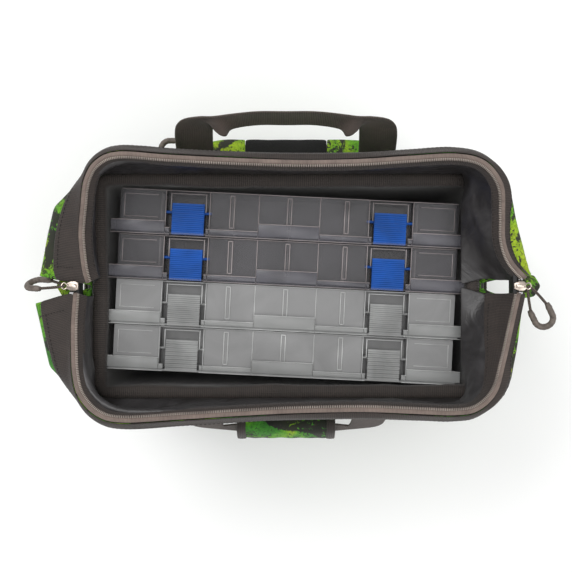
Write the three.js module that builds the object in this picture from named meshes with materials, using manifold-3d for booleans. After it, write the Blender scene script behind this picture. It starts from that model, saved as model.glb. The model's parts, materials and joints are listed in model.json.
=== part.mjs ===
// A wide-mouth soft tackle bag with four clear utility trays standing on edge inside it.
// Millimetres, +Z up. The origin is the centre of the flat underside of the moulded base.
// +X runs to the right along the bag. -Y is the front, where the handle carries the padded wrap.
// The mouth is open: its two wire halves lie back on their hinges at the ends of the bag.

import * as THREE from "three";
import { mergeVertices } from "three/addons/utils/BufferGeometryUtils.js";
import Module from "manifold-3d";

const wasm = await Module();
wasm.setup();

const radians = THREE.MathUtils.degToRad;
const GAP = 0.3; // clearance between pieces that touch

// ---- Driving dimensions ----

// One utility tray. It stands on its hinge edge, with its lid towards the front of the bag.
const TRAY = { length: 356, depth: 232, thick: 46, wall: 1.8, pitch: 46.8, count: 4, turn: -2.8 };
const LID = { deep: 14, wall: 2 };
const LATCH = { width: 33, at: 104, pinZ: 224, pinY: 0.4, pinRadius: 1.5, front: 23, back: 9 };
const BAY = { half: 23, floor: 211 }; // recess in the tray's front wall that a latch turns in
const ROWS = [60, 115, 170]; // heights of the fixed partitions in a tray

// Bag body: foam panels inside an outer fabric shell, on a moulded base.
const ROOM = { x: 186, y: 104 }; // half sizes of the tray compartment
const FOAM = 8;
const SHELL = 3;
const WALL_TOP = 246;
const BASE = { floor: 4, wall: 3, high: 40, corner: 18 };
const BOARD = 4;

// Mouth: two wire halves, each on its own pair of pins. The soft skirt lets it sit off centre.
const HINGE = { x: 221, y: 8, z: 276 };
const MOUTH = { shift: 10, cornerX: 197, reach: 118, bend: 44, rise: 18, bendSteps: 5 };
const WIRE = 2.5;
const SLEEVE = { outer: 5.2, inner: 3, start: 20 };
const ZIP = { half: 5, low: 5.5, high: 7.7, start: 14 };
const FLARE = 16; // how far the skirt's ends stand out beyond the shell, at the hinges

// Handles of 38 mm webbing.
const HANDLE = { out: 111, in: 73, z: 222, high: 100, bar: 22, thick: 2.4, rearTilt: 30, frontTilt: 152 };
const WRAP = { half: 54, wide: 34, thick: 20 };

const outerX = ROOM.x + FOAM + GAP + SHELL; // outside of the fabric shell
const outerY = ROOM.y + FOAM + GAP + SHELL;

// ---- Materials ----

const material = (color, roughness, metalness = 0) =>
  new THREE.MeshStandardMaterial({ color, roughness, metalness });
const PAINT = {
  camo: material(0x5fa51e, 0.8),
  webbing: material(0x3b342f, 0.9),
  lining: material(0x45454a, 0.45),
  foam: material(0x2c2c2e, 0.95),
  zip: material(0x85776e, 0.7),
  moulded: material(0x1c1c1c, 0.6),
  wire: material(0xb9b9bb, 0.3, 1),
  metal: material(0xc9b9ae, 0.3, 1),
  rubber: material(0x544c46, 0.7),
  blue: material(0x0a55c0, 0.4),
  clear: material(0x9a9aa6, 0.15),
  frosted: material(0xa9aaa9, 0.3),
};

// ---- Geometry helpers ----

const AXES = {
  x: [new THREE.Vector3(0, 1, 0), new THREE.Vector3(0, 0, 1), new THREE.Vector3(1, 0, 0)],
  y: [new THREE.Vector3(1, 0, 0), new THREE.Vector3(0, 0, 1), new THREE.Vector3(0, -1, 0)],
  z: [new THREE.Vector3(1, 0, 0), new THREE.Vector3(0, 1, 0), new THREE.Vector3(0, 0, 1)],
};

// A 2D shape pushed along one axis from low to high. Its own x and y become the other two axes, in order.
function prism(shape, axis, low, high, curveSegments = 4) {
  const pushed = new THREE.ExtrudeGeometry(shape, { depth: high - low, bevelEnabled: false, curveSegments });
  pushed.applyMatrix4(new THREE.Matrix4().makeBasis(...AXES[axis]));
  const start = axis === "y" ? high : low;
  return pushed.translate(axis === "x" ? start : 0, axis === "y" ? start : 0, axis === "z" ? start : 0);
}

function box(x0, x1, y0, y1, z0, z1) {
  const made = new THREE.BoxGeometry(x1 - x0, y1 - y0, z1 - z0);
  return made.translate((x0 + x1) / 2, (y0 + y1) / 2, (z0 + z1) / 2);
}

// A rectangle centred on the origin, with rounded corners.
function roundedRectangle(halfX, halfY, radius) {
  const shape = new THREE.Shape();
  shape.moveTo(-halfX + radius, -halfY);
  shape.lineTo(halfX - radius, -halfY);
  shape.absarc(halfX - radius, -halfY + radius, radius, -Math.PI / 2, 0);
  shape.lineTo(halfX, halfY - radius);
  shape.absarc(halfX - radius, halfY - radius, radius, 0, Math.PI / 2);
  shape.lineTo(-halfX + radius, halfY);
  shape.absarc(-halfX + radius, halfY - radius, radius, Math.PI / 2, Math.PI);
  shape.lineTo(-halfX, -halfY + radius);
  shape.absarc(-halfX + radius, -halfY + radius, radius, Math.PI, Math.PI * 1.5);
  return shape;
}

function disc(x, y, radius) {
  return new THREE.Shape().absarc(x, y, radius, 0, Math.PI * 2);
}

function annulus(x, y, outer, inner) {
  const shape = disc(x, y, outer);
  shape.holes.push(new THREE.Path().absarc(x, y, inner, 0, Math.PI * 2, true));
  return shape;
}

const polygon = (points) => new THREE.Shape(points.map(([x, y]) => new THREE.Vector2(x, y)));

// A closed geometry as a manifold-3d solid, for joining and cutting.
function solid(geometry) {
  const bare = new THREE.BufferGeometry().setAttribute("position", geometry.getAttribute("position"));
  bare.setIndex(geometry.getIndex());
  const merged = mergeVertices(bare, 1e-4);
  const triVerts = new Uint32Array(merged.index.array);
  return new wasm.Manifold(
    new wasm.Mesh({ numProp: 3, vertProperties: merged.attributes.position.array, triVerts }),
  );
}

function geometryOf(manifold) {
  const { vertProperties, triVerts } = manifold.getMesh();
  return new THREE.BufferGeometry()
    .setAttribute("position", new THREE.BufferAttribute(vertProperties, 3))
    .setIndex(new THREE.BufferAttribute(triVerts, 1));
}

const join = (...parts) => geometryOf(parts.map(solid).reduce((whole, part) => whole.add(part)));
const cut = (from, ...tools) => geometryOf(tools.map(solid).reduce((left, tool) => left.subtract(tool), solid(from)));

// A section pushed along a curve.
function sweep(section, path, steps, curveSegments = 2) {
  return new THREE.ExtrudeGeometry(section, { steps, extrudePath: path, curveSegments });
}

const sweepStations = (section, line) => sweep(section, line, line.last);

const bag = new THREE.Group();
const mouth = group(bag, MOUTH.shift, 0, 0);

function add(parent, name, geometry, paint) {
  const mesh = new THREE.Mesh(geometry, paint);
  mesh.name = name;
  parent.add(mesh);
  return mesh;
}

function group(parent, x, y, z, turnX = 0, turnZ = 0) {
  const made = new THREE.Group();
  made.position.set(x, y, z);
  made.rotation.set(radians(turnX), 0, radians(turnZ));
  parent.add(made);
  return made;
}

// ---- Base and walls ----

function buildBase() {
  const inner = { x: outerX + GAP, y: outerY + GAP };
  const outside = roundedRectangle(inner.x + BASE.wall, inner.y + BASE.wall, BASE.corner);
  const inside = roundedRectangle(inner.x, inner.y, BASE.corner - BASE.wall);
  const tub = cut(prism(outside, "z", 0, BASE.high), prism(inside, "z", BASE.floor, BASE.high + 1));
  add(bag, "moulded_base", tub, PAINT.moulded);
  const z = BASE.floor + GAP;
  const board = box(-ROOM.x + GAP, ROOM.x - GAP, -ROOM.y + GAP, ROOM.y - GAP, z, z + BOARD);
  add(bag, "bottom_board", board, PAINT.foam);
}

function buildWalls() {
  const low = BASE.floor + GAP;
  const end = ROOM.x - GAP; // the corners stay free, so that the shell can round them
  for (const [name, side] of [["front", -1], ["rear", 1]]) {
    const [a, b] = [side * ROOM.y, side * (ROOM.y + FOAM)].sort((p, q) => p - q);
    add(bag, `${name}_foam_panel`, box(-end, end, a, b, low, WALL_TOP), PAINT.foam);
  }
  for (const [name, side] of [["left", -1], ["right", 1]]) {
    const [a, b] = [side * ROOM.x, side * (ROOM.x + FOAM)].sort((p, q) => p - q);
    add(bag, `${name}_foam_panel`, box(a, b, -ROOM.y + GAP, ROOM.y - GAP, low, WALL_TOP), PAINT.foam);
  }
  const outside = prism(roundedRectangle(outerX, outerY, 14), "z", low, WALL_TOP);
  const inside = prism(roundedRectangle(outerX - SHELL, outerY - SHELL, 11), "z", low - 1, WALL_TOP + 1);
  add(bag, "outer_shell", cut(outside, inside), PAINT.camo);
}

// The webbing that binds the top edge of the walls.
function buildRimBinding() {
  const low = WALL_TOP + GAP;
  const outside = prism(roundedRectangle(outerX, outerY, 14), "z", low, low + 6);
  const inside = prism(roundedRectangle(ROOM.x - 1, ROOM.y - 1, 6), "z", low - 1, low + 7);
  add(bag, "rim_binding", cut(outside, inside), PAINT.webbing);
}

// ---- Mouth ----

// A line through chosen stations, so that two sweeps with different ends bend at the same places.
class StationLine extends THREE.Curve {
  constructor(stations) {
    super();
    this.stations = stations;
  }

  get last() {
    return this.stations.length - 1;
  }

  getPoint(t) {
    const at = Math.min(Math.floor(t * this.last + 1e-9), this.last - 1);
    return this.stations[at].clone().lerp(this.stations[at + 1], t * this.last - at);
  }

  getPointAt(t) {
    return this.getPoint(t);
  }

  getTangentAt(t) {
    const at = Math.round(t * this.last);
    const step = (i) => this.stations[i + 1].clone().sub(this.stations[i]).normalize();
    const before = step(Math.max(at - 1, 0));
    return before.add(step(Math.min(at, this.last - 1))).normalize();
  }
}

// The line of one wire half in its own flat frame, from the left hinge round to the right one.
// side is -1 for the front half and 1 for the rear half; start is how far from the hinge it begins.
function mouthLine(side, start) {
  const armX = (y) => HINGE.x + ((MOUTH.cornerX - HINGE.x) * y) / MOUTH.reach;
  const bendY = MOUTH.reach - MOUTH.bend;
  const bend = new THREE.QuadraticBezierCurve(
    new THREE.Vector2(armX(bendY), bendY),
    new THREE.Vector2(MOUTH.cornerX, MOUTH.reach),
    new THREE.Vector2(MOUTH.cornerX - MOUTH.bend, MOUTH.reach),
  );
  const right = [new THREE.Vector2(armX(start), start), ...bend.getPoints(MOUTH.bendSteps)];
  const left = right.map((at) => new THREE.Vector2(-at.x, at.y));
  return new StationLine([...left, ...right.reverse()].map((at) => new THREE.Vector3(at.x, side * at.y, 0)));
}

// A flat band of the given half width that follows one wire half.
function mouthBand(side, start, half) {
  const line = mouthLine(side, start);
  const sides = [[], []];
  for (let i = 0; i <= line.last; i++) {
    const at = line.getPoint(i / line.last);
    const along = line.getTangentAt(i / line.last);
    sides[0].push(new THREE.Vector2(at.x - along.y * half, at.y + along.x * half));
    sides[1].unshift(new THREE.Vector2(at.x + along.y * half, at.y - along.x * half));
  }
  return new THREE.Shape([...sides[0], ...sides[1]]);
}

function buildMouthHalf(name, side) {
  const half = group(mouth, 0, side * HINGE.y, HINGE.z, side * MOUTH.rise);
  const eye = (hand) => prism(annulus(0, 0, 6, 2.6), "x", hand * HINGE.x - 2, hand * HINGE.x + 2, 6);
  const wire = sweepStations(disc(0, 0, WIRE), mouthLine(side, 4.5));
  add(half, `${name}_wire_frame`, join(wire, eye(-1), eye(1)), PAINT.wire);
  const sleeve = sweepStations(annulus(0, 0, SLEEVE.outer, SLEEVE.inner), mouthLine(side, SLEEVE.start));
  add(half, `${name}_frame_sleeve`, sleeve, PAINT.webbing);
  const tape = prism(mouthBand(side, ZIP.start, ZIP.half), "z", ZIP.low, ZIP.high);
  add(half, `${name}_zip_tape`, tape, PAINT.zip);
}

// The soft wall between the rim and one wire half: its top slopes with the open half above it.
function buildSkirt(name, side) {
  const outline = (inset) => {
    const corner = { x: outerX - inset, y: outerY + 2 - inset };
    return [
      [-corner.x - FLARE + MOUTH.shift, 0.4],
      [-corner.x, corner.y - 14],
      [-corner.x + 5, corner.y - 4],
      [-corner.x + 14, corner.y],
      [corner.x - 14, corner.y],
      [corner.x - 5, corner.y - 4],
      [corner.x, corner.y - 14],
      [corner.x + FLARE + MOUTH.shift, 0.4],
    ].map(([x, y]) => [x, side * y]);
  };
  const wall = prism(polygon([...outline(0), ...outline(4).reverse()]), "z", WALL_TOP + 7, HINGE.z + 60);
  const above = box(-300, 300, -200, 200, -9, 200);
  above.applyMatrix4(new THREE.Matrix4().makeRotationX(radians(side * MOUTH.rise)));
  above.translate(0, side * HINGE.y, HINGE.z);
  add(bag, `${name}_skirt`, cut(wall, above), PAINT.lining);
}

// A small moulded plate at each end of the bag, with one pin for each wire half.
const PLATE = { half: 12, thick: 3.4, below: 14, above: 5.5, pin: 2.1 };

function buildHinges() {
  for (const [name, hand] of [["left", -1], ["right", 1]]) {
    const face = outerX + FLARE + GAP;
    const span = (a, b) => [hand * a, hand * b].sort((p, q) => p - q);
    const [x0, x1] = span(face, face + PLATE.thick);
    const plate = box(x0, x1, -PLATE.half, PLATE.half, HINGE.z - PLATE.below, HINGE.z + PLATE.above);
    const [p0, p1] = span(face + PLATE.thick - 0.4, HINGE.x + 4);
    const pins = [-1, 1].map((side) => prism(disc(side * HINGE.y, HINGE.z, PLATE.pin), "x", p0, p1, 5));
    add(mouth, `${name}_hinge_plate`, join(plate, ...pins), PAINT.moulded);
  }
}

// ---- Zip ends: tab, slider and a cord pull with a moulded grip ----

const SLIDER = { x: 214, long: 11, wide: 9, low: 282.3, high: 287.4 };
const END_TAB = { start: 5, left: 19, right: 24, half: 6, low: 20, high: 15 };
const PULL = { long: 27, wide: 9, cord: 1.4, grip: 3.1, overlap: 10 };

// The cord runs from one end of the grip, past the eye of the slider, to the other end.
function pullCord() {
  const at = (along, across) => new THREE.Vector3(along, across, 0);
  return new THREE.CatmullRomCurve3(
    [at(PULL.long, PULL.wide), at(12, 5), at(3, 1.8), at(0, 0), at(3, -1.8), at(12, -5), at(PULL.long, -PULL.wide)],
    false,
    "catmullrom",
    0.5,
  );
}

// The grip carries on from the cord and turns back in a half circle.
function pullGrip() {
  const start = PULL.long + GAP;
  const turn = start + PULL.overlap;
  const path = new THREE.CurvePath();
  const at = (along, across) => new THREE.Vector3(along, across, 0);
  path.add(new THREE.LineCurve3(at(start, PULL.wide), at(turn, PULL.wide)));
  const bulge = (PULL.wide * 4) / 3;
  path.add(
    new THREE.CubicBezierCurve3(
      at(turn, PULL.wide),
      at(turn + bulge, PULL.wide),
      at(turn + bulge, -PULL.wide),
      at(turn, -PULL.wide),
    ),
  );
  path.add(new THREE.LineCurve3(at(turn, -PULL.wide), at(start, -PULL.wide)));
  return path;
}

// A pull lies along local +X from its eye. roll turns it about that line, dip tips it down.
function buildPull(parent, name, x, y, z, heading, dip, roll) {
  const pull = new THREE.Group();
  pull.position.set(x, y, z);
  pull.rotation.order = "ZYX";
  pull.rotation.set(radians(roll), radians(dip), radians(heading));
  parent.add(pull);
  add(pull, `${name}_pull_cord`, sweep(disc(0, 0, PULL.cord), pullCord(), 18), PAINT.webbing);
  add(pull, `${name}_pull_grip`, sweep(disc(0, 0, PULL.grip), pullGrip(), 14), PAINT.rubber);
}

function buildZipEnds() {
  const spots = [
    ["left", -1, 176, 30, 60],
    ["right", 1, -62, 12, 14],
  ];
  for (const [name, hand, heading, dip, roll] of spots) {
    const span = (a, b) => [hand * a, hand * b].sort((p, q) => p - q);
    const [t0, t1] = span(HINGE.x + END_TAB.start, HINGE.x + END_TAB[name]);
    const tab = box(t0, t1, -END_TAB.half, END_TAB.half, HINGE.z - END_TAB.low, HINGE.z - END_TAB.high);
    add(mouth, `${name}_zip_end_tab`, tab, PAINT.camo);
    const [s0, s1] = span(SLIDER.x, SLIDER.x + SLIDER.long);
    const body = box(s0, s1, -SLIDER.wide / 2, SLIDER.wide / 2, SLIDER.low, SLIDER.high);
    add(mouth, `${name}_slider`, body, PAINT.metal);
    const eye = hand * (SLIDER.x + SLIDER.long + 2.4);
    buildPull(mouth, name, eye, 0, SLIDER.high - 1.5, heading, dip, roll);
  }
}

// ---- Pockets ----

// An open-topped pouch against one wall. The solid is drawn for the +Y wall and turned into place.
function pouch(half, deep, low, high, wall) {
  const start = 0;
  const body = box(-half, half, start, deep, low, high);
  return cut(body, box(-half + wall, half - wall, wall, deep - wall, low + wall, high + 1));
}

const POCKETS = {
  front: { half: 150, deep: 21, low: 48, high: 176, turn: 180, out: outerY },
  rear: { half: 116, deep: 37, low: 48, high: 200, turn: 0, out: outerY },
  left: { half: 68, deep: 24, low: 48, high: 178, turn: 90, out: outerX },
  right: { half: 68, deep: 24, low: 48, high: 178, turn: -90, out: outerX },
};

function buildPockets() {
  for (const [name, pocket] of Object.entries(POCKETS)) {
    const place = group(bag, 0, 0, 0, 0, pocket.turn);
    const made = pouch(pocket.half, pocket.deep, pocket.low, pocket.high, 2.5);
    made.translate(0, pocket.out + GAP, 0);
    add(place, `${name}_pocket`, made, PAINT.camo);
  }
}

// The rear pocket closes with a top panel and a zip along its outer edge.
const POCKET_ZIP = { wide: 11, inset: 2, sliderX: -84, sliderLow: 1.9, sliderHigh: 8 };

function buildRearPocketTop() {
  const { half, deep, high } = POCKETS.rear;
  const low = high + GAP;
  const edge = outerY + GAP + deep - POCKET_ZIP.inset;
  const seam = edge - POCKET_ZIP.wide;
  add(bag, "rear_pocket_cover", box(-half, half, outerY + GAP, seam - GAP, low, low + 2.4), PAINT.camo);
  add(bag, "rear_pocket_zip", box(-half, half, seam, edge, low, low + 1.6), PAINT.zip);
  const x = POCKET_ZIP.sliderX;
  const y = (seam + edge) / 2;
  const slider = box(x, x + 11, y - 4, y + 4, low + POCKET_ZIP.sliderLow, low + POCKET_ZIP.sliderHigh);
  add(bag, "rear_slider", slider, PAINT.metal);
  buildPull(bag, "rear", x - 2.4, y, low + POCKET_ZIP.sliderHigh - 1.5, 180, 0, 0);
}

// ---- D-rings for a shoulder strap ----

const RING = { half: 17, drop: 26, wire: 2, z: 222 };

function buildRings() {
  for (const [name, hand] of [["left", -1], ["right", 1]]) {
    const face = outerX + GAP;
    const span = (a, b) => [hand * a, hand * b].sort((p, q) => p - q);
    const [a, b] = span(face, face + 2.2);
    const centre = hand * (face + 5);
    const strip = box(a, b, -12, 12, RING.z - 4, RING.z + 22);
    const loop = prism(annulus(centre, RING.z, 4.4, 2.7), "y", -12, 12, 6);
    add(bag, `${name}_ring_tab`, join(strip, loop), PAINT.webbing);

    const bend = new THREE.CubicBezierCurve3(
      new THREE.Vector3(centre, -RING.half, RING.z),
      new THREE.Vector3(centre, -RING.half, RING.z - RING.drop * 1.33),
      new THREE.Vector3(centre, RING.half, RING.z - RING.drop * 1.33),
      new THREE.Vector3(centre, RING.half, RING.z),
    );
    const bar = prism(disc(centre, RING.z, RING.wire), "y", -RING.half - 1.4, RING.half + 1.4);
    add(bag, `${name}_d_ring`, join(sweep(disc(0, 0, RING.wire), bend, 12), bar), PAINT.metal);
  }
}

// ---- Handles ----

// A flat arch of webbing that stands up from its sewn ends, drawn in the XZ plane.
function handleArch() {
  const { out, high, bar } = HANDLE;
  const inside = HANDLE.in;
  const top = high - bar;
  const half = [
    [inside, 0],
    [inside, 46],
    [WRAP.half + 2, top],
  ];
  const outer = [
    [WRAP.half + 8, high],
    [out, 60],
    [out, 0],
  ];
  const mirrored = (points) => points.map(([x, z]) => [-x, z]).reverse();
  return polygon([...half, ...mirrored(half), ...mirrored(outer), ...outer]);
}

function buildHandles() {
  const gapY = outerY + HANDLE.thick / 2 + 2 * GAP;
  for (const [name, side, tilt] of [["front", -1, HANDLE.frontTilt], ["rear", 1, HANDLE.rearTilt]]) {
    const swing = group(bag, 0, side * gapY, HANDLE.z, -side * tilt);
    const arch = prism(handleArch(), "y", -HANDLE.thick / 2, HANDLE.thick / 2);
    add(swing, `${name}_handle`, arch, PAINT.webbing);
    if (side < 0) {
      const middle = HANDLE.high - HANDLE.bar / 2;
      const pad = prism(roundedRectangle(WRAP.thick / 2, WRAP.wide / 2, 8), "x", -WRAP.half, WRAP.half);
      const slotY = HANDLE.thick / 2 + GAP;
      const slot = box(-WRAP.half - 1, WRAP.half + 1, -slotY, slotY, -HANDLE.bar / 2 - GAP, HANDLE.bar / 2 + GAP);
      add(swing, "handle_wrap", cut(pad, slot).translate(0, 0, middle), PAINT.camo);
    }
  }
}

// ---- Utility trays ----

// A tray outline with a notch in its top edge at each latch.
function notched(halfX, low, high, notchHalf, notchFloor) {
  const notch = (x) => [
    [x + notchHalf, high],
    [x + notchHalf, notchFloor],
    [x - notchHalf, notchFloor],
    [x - notchHalf, high],
  ];
  return polygon([[-halfX, low], [halfX, low], [halfX, high], ...notch(LATCH.at), ...notch(-LATCH.at), [-halfX, high]]);
}

function trayBase() {
  const { wall, thick } = TRAY;
  const halfX = TRAY.length / 2 - LID.wall - 1.5;
  const [low, high] = [4, TRAY.depth - 4];
  const open = -thick / 2 + TRAY.wall + 0.4;
  const outside = prism(notched(halfX, low, high, BAY.half, BAY.floor), "y", open, thick / 2);
  const room = notched(halfX - wall, low + wall, high - wall, BAY.half + wall, BAY.floor - wall);
  const pinHoles = [-1, 1].map((hand) => {
    const x = hand * LATCH.at;
    return prism(disc(LATCH.pinY, LATCH.pinZ, 1.9), "x", x - BAY.half - wall - 1, x + BAY.half + wall + 1, 3);
  });
  const tub = cut(outside, prism(room, "y", open - 1, thick / 2 - wall), ...pinHoles);
  const partitions = ROWS.map((z) => box(-halfX + 1, halfX - 1, open + 1, thick / 2 - 1, z, z + 1.6));
  return join(tub, ...partitions);
}

function trayLid() {
  const { length, depth, thick } = TRAY;
  const front = -thick / 2;
  const outside = prism(notched(length / 2, 0, depth, 20, 222), "y", front, front + LID.deep);
  const inset = LID.wall;
  const room = notched(length / 2 - inset, inset, depth - inset, 20 + inset, 222 - inset);
  return cut(outside, prism(room, "y", front + TRAY.wall, front + LID.deep + 1));
}

// A ribbed latch on a pin through the sides of its bay. Its front edge hooks over the lid.
function trayLatch() {
  const { front, back, width } = LATCH;
  const [under, top, rib] = [2, 6.2, 7.2];
  const ribs = [];
  for (let y = back - 2; y - 2 > -front; y -= 4) ribs.push([y, top], [y - 0.6, rib], [y - 2, rib], [y - 2.6, top]);
  const profile = polygon([
    [-front, -1.4],
    [-front + 1.8, -1.4],
    [-front + 1.8, under],
    [-3, under],
    [-2, -2],
    [2, -2],
    [3, under],
    [back, under],
    [back, top],
    ...ribs,
    [-front, top],
  ]);
  const pinHalf = BAY.half + TRAY.wall - 0.6;
  const pin = prism(disc(0, 0, LATCH.pinRadius), "x", -pinHalf, pinHalf, 3);
  return join(prism(profile, "x", -width / 2, width / 2), pin);
}

function buildTrays() {
  const stack = group(bag, 0, 0, BASE.floor + GAP + BOARD + GAP, 0, TRAY.turn);
  for (let i = 0; i < TRAY.count; i++) {
    const name = `tray_${i + 1}`;
    const tray = group(stack, 0, ((TRAY.count - 1) / 2 - i) * TRAY.pitch, 0);
    const plastic = i < 2 ? PAINT.clear : PAINT.frosted;
    add(tray, `${name}_base`, trayBase(), plastic);
    add(tray, `${name}_lid`, trayLid(), plastic);
    for (const [hand, sign] of [["left", -1], ["right", 1]]) {
      const latch = add(tray, `${name}_${hand}_latch`, trayLatch(), i < 2 ? PAINT.blue : PAINT.frosted);
      latch.position.set(sign * LATCH.at, LATCH.pinY, LATCH.pinZ);
    }
  }
}

buildBase();
buildWalls();
buildRimBinding();
for (const [name, side] of [["front", -1], ["rear", 1]]) {
  buildSkirt(name, side);
  buildMouthHalf(name, side);
}
buildHinges();
buildZipEnds();
buildPockets();
buildRearPocketTop();
buildRings();
buildHandles();
buildTrays();

export default bag;
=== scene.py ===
"""The looks of a wide-mouth soft tackle bag that holds four utility trays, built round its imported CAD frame.

Metres, +Z up, +X to the right along the bag, -Y the front. The mouth stands open.
"""

import json
import math

import bpy
import numpy as np
from mathutils import Matrix, Vector, noise


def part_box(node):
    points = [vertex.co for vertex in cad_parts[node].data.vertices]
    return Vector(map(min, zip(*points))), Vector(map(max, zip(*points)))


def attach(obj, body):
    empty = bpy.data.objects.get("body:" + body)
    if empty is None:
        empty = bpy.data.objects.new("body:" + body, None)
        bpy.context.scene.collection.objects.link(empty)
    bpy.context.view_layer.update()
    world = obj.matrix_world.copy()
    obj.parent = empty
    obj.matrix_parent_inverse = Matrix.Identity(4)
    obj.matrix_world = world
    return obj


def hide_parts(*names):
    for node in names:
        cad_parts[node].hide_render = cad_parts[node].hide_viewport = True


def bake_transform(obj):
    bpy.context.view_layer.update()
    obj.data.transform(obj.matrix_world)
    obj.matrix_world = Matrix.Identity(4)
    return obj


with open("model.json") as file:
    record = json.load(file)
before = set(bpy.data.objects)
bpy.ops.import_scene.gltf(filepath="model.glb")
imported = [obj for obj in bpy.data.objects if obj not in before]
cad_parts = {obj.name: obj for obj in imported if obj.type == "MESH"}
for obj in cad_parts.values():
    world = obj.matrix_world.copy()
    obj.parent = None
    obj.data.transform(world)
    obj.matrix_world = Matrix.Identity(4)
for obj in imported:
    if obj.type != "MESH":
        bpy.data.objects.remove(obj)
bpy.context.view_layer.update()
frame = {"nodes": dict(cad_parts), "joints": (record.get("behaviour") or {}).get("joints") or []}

JOINTS = {joint["name"]: joint for joint in frame["joints"]}
MM = 0.001

# ---- Sizes that the frame gives ----

HINGE = Vector(JOINTS["rear_mouth"]["pos_m"])  # x is how far the mouth sits off centre
SHELL_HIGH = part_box("outer_shell")[1]
RIM_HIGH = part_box("rim_binding")[1]
ROOM_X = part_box("right_foam_panel")[0].x  # inside of the end walls
LATCH_AXIS = JOINTS["tray_1_left_latch"]["axis"]
TRAY_TURN = math.atan2(-LATCH_AXIS[1], -LATCH_AXIS[0])
UP = np.array([0, 0, 1.0])

# ---- The mouth, as the CAD has it ----

RISE = math.radians(18)  # how far an open half stands above level
REACH = 118 * MM  # hinge to the long side, in a half's own plane
BEND = 44 * MM
CORNER_X = 197 * MM
HINGE_X = 221 * MM
TAPE_Z = 6.6 * MM  # middle of the zip tape above the wire's plane


def rgb(red, green, blue):
    """A colour given as a screen shows it, 0 to 255, for a shader."""
    shares = (red / 255, green / 255, blue / 255)
    return (*[c / 12.92 if c <= 0.04045 else ((c + 0.055) / 1.055) ** 2.4 for c in shares], 1.0)


def tint(color, share):
    """A screen colour made darker or paler, for a shader."""
    return rgb(*[min(255, share * c) for c in color])


# ---- Materials ----


class Paint:
    """A node material, with short calls for the nodes that most finishes here share."""

    def __init__(self, name, roughness=0.8, metallic=0.0, **inputs):
        self.material = bpy.data.materials.new(name)
        self.material.use_nodes = True
        self.tree = self.material.node_tree
        self.shader = self.tree.nodes["Principled BSDF"]
        self.set(Roughness=roughness, Metallic=metallic, **inputs)

    def set(self, **inputs):
        for name, value in inputs.items():
            socket = self.shader.inputs[name.replace("_", " ")]
            self.feed(socket, value)

    def feed(self, socket, value):
        if isinstance(value, bpy.types.NodeSocket):
            self.tree.links.new(value, socket)
        elif value is not None:
            socket.default_value = value

    def node(self, kind, inputs=(), **settings):
        made = self.tree.nodes.new(kind)
        for name, value in settings.items():
            setattr(made, name, value)
        for key, value in dict(inputs).items():
            self.feed(made.inputs[key], value)
        return made

    def mapping(self, at, **inputs):
        return self.node("ShaderNodeMapping", {"Vector": at, **inputs}).outputs[0]

    def rest(self, scale=(1, 1, 1)):
        """Where a point lies at rest, so that a pattern stays on the cloth when it moves."""
        at = self.node("ShaderNodeAttribute", attribute_name="rest").outputs["Vector"]
        return self.mapping(at, Scale=scale)

    def uv(self):
        """Metres along and across a strip or sheet."""
        return self.node("ShaderNodeUVMap", uv_map="metres").outputs[0]

    def noise(self, at, scale, detail=3.0, rough=0.5, distort=0.0):
        inputs = {"Vector": at, "Scale": scale, "Detail": detail, "Roughness": rough, "Distortion": distort}
        return self.node("ShaderNodeTexNoise", inputs).outputs["Fac"]

    def wave(self, at, pitch, direction="X", distort=0.0):
        """Ridges that repeat every pitch metres."""
        inputs = {"Vector": at, "Scale": 0.314159 / pitch, "Distortion": distort}
        return self.node("ShaderNodeTexWave", inputs, bands_direction=direction).outputs["Fac"]

    def ramp(self, factor, stops, sharp=False):
        made = self.node("ShaderNodeValToRGB", {"Fac": factor})
        made.color_ramp.interpolation = "CONSTANT" if sharp else "LINEAR"
        points = made.color_ramp.elements
        while len(points) < len(stops):
            points.new(0.5)
        for point, (position, color) in zip(points, stops):
            point.position = position
            point.color = color if hasattr(color, "__len__") else (color, color, color, 1)
        return made.outputs["Color"]

    def mix(self, factor, a, b, blend="MIX"):
        made = self.node("ShaderNodeMix", data_type="RGBA", blend_type=blend)
        self.feed(made.inputs[0], factor)
        self.feed(made.inputs[6], a)
        self.feed(made.inputs[7], b)
        return made.outputs[2]

    def math(self, operation, a, b=None, c=None):
        made = self.node("ShaderNodeMath", operation=operation)
        for socket, value in zip(made.inputs, (a, b, c)):
            self.feed(socket, value)
        return made.outputs[0]

    def blend(self, a, share_a, b, share_b):
        """A sum of two patterns, each by its share."""
        return self.math("MULTIPLY_ADD", a, share_a, self.math("MULTIPLY", b, share_b))

    def bump(self, height, depth, strength=1.0):
        inputs = {"Height": height, "Distance": depth, "Strength": strength}
        self.set(Normal=self.node("ShaderNodeBump", inputs).outputs[0])


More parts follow.
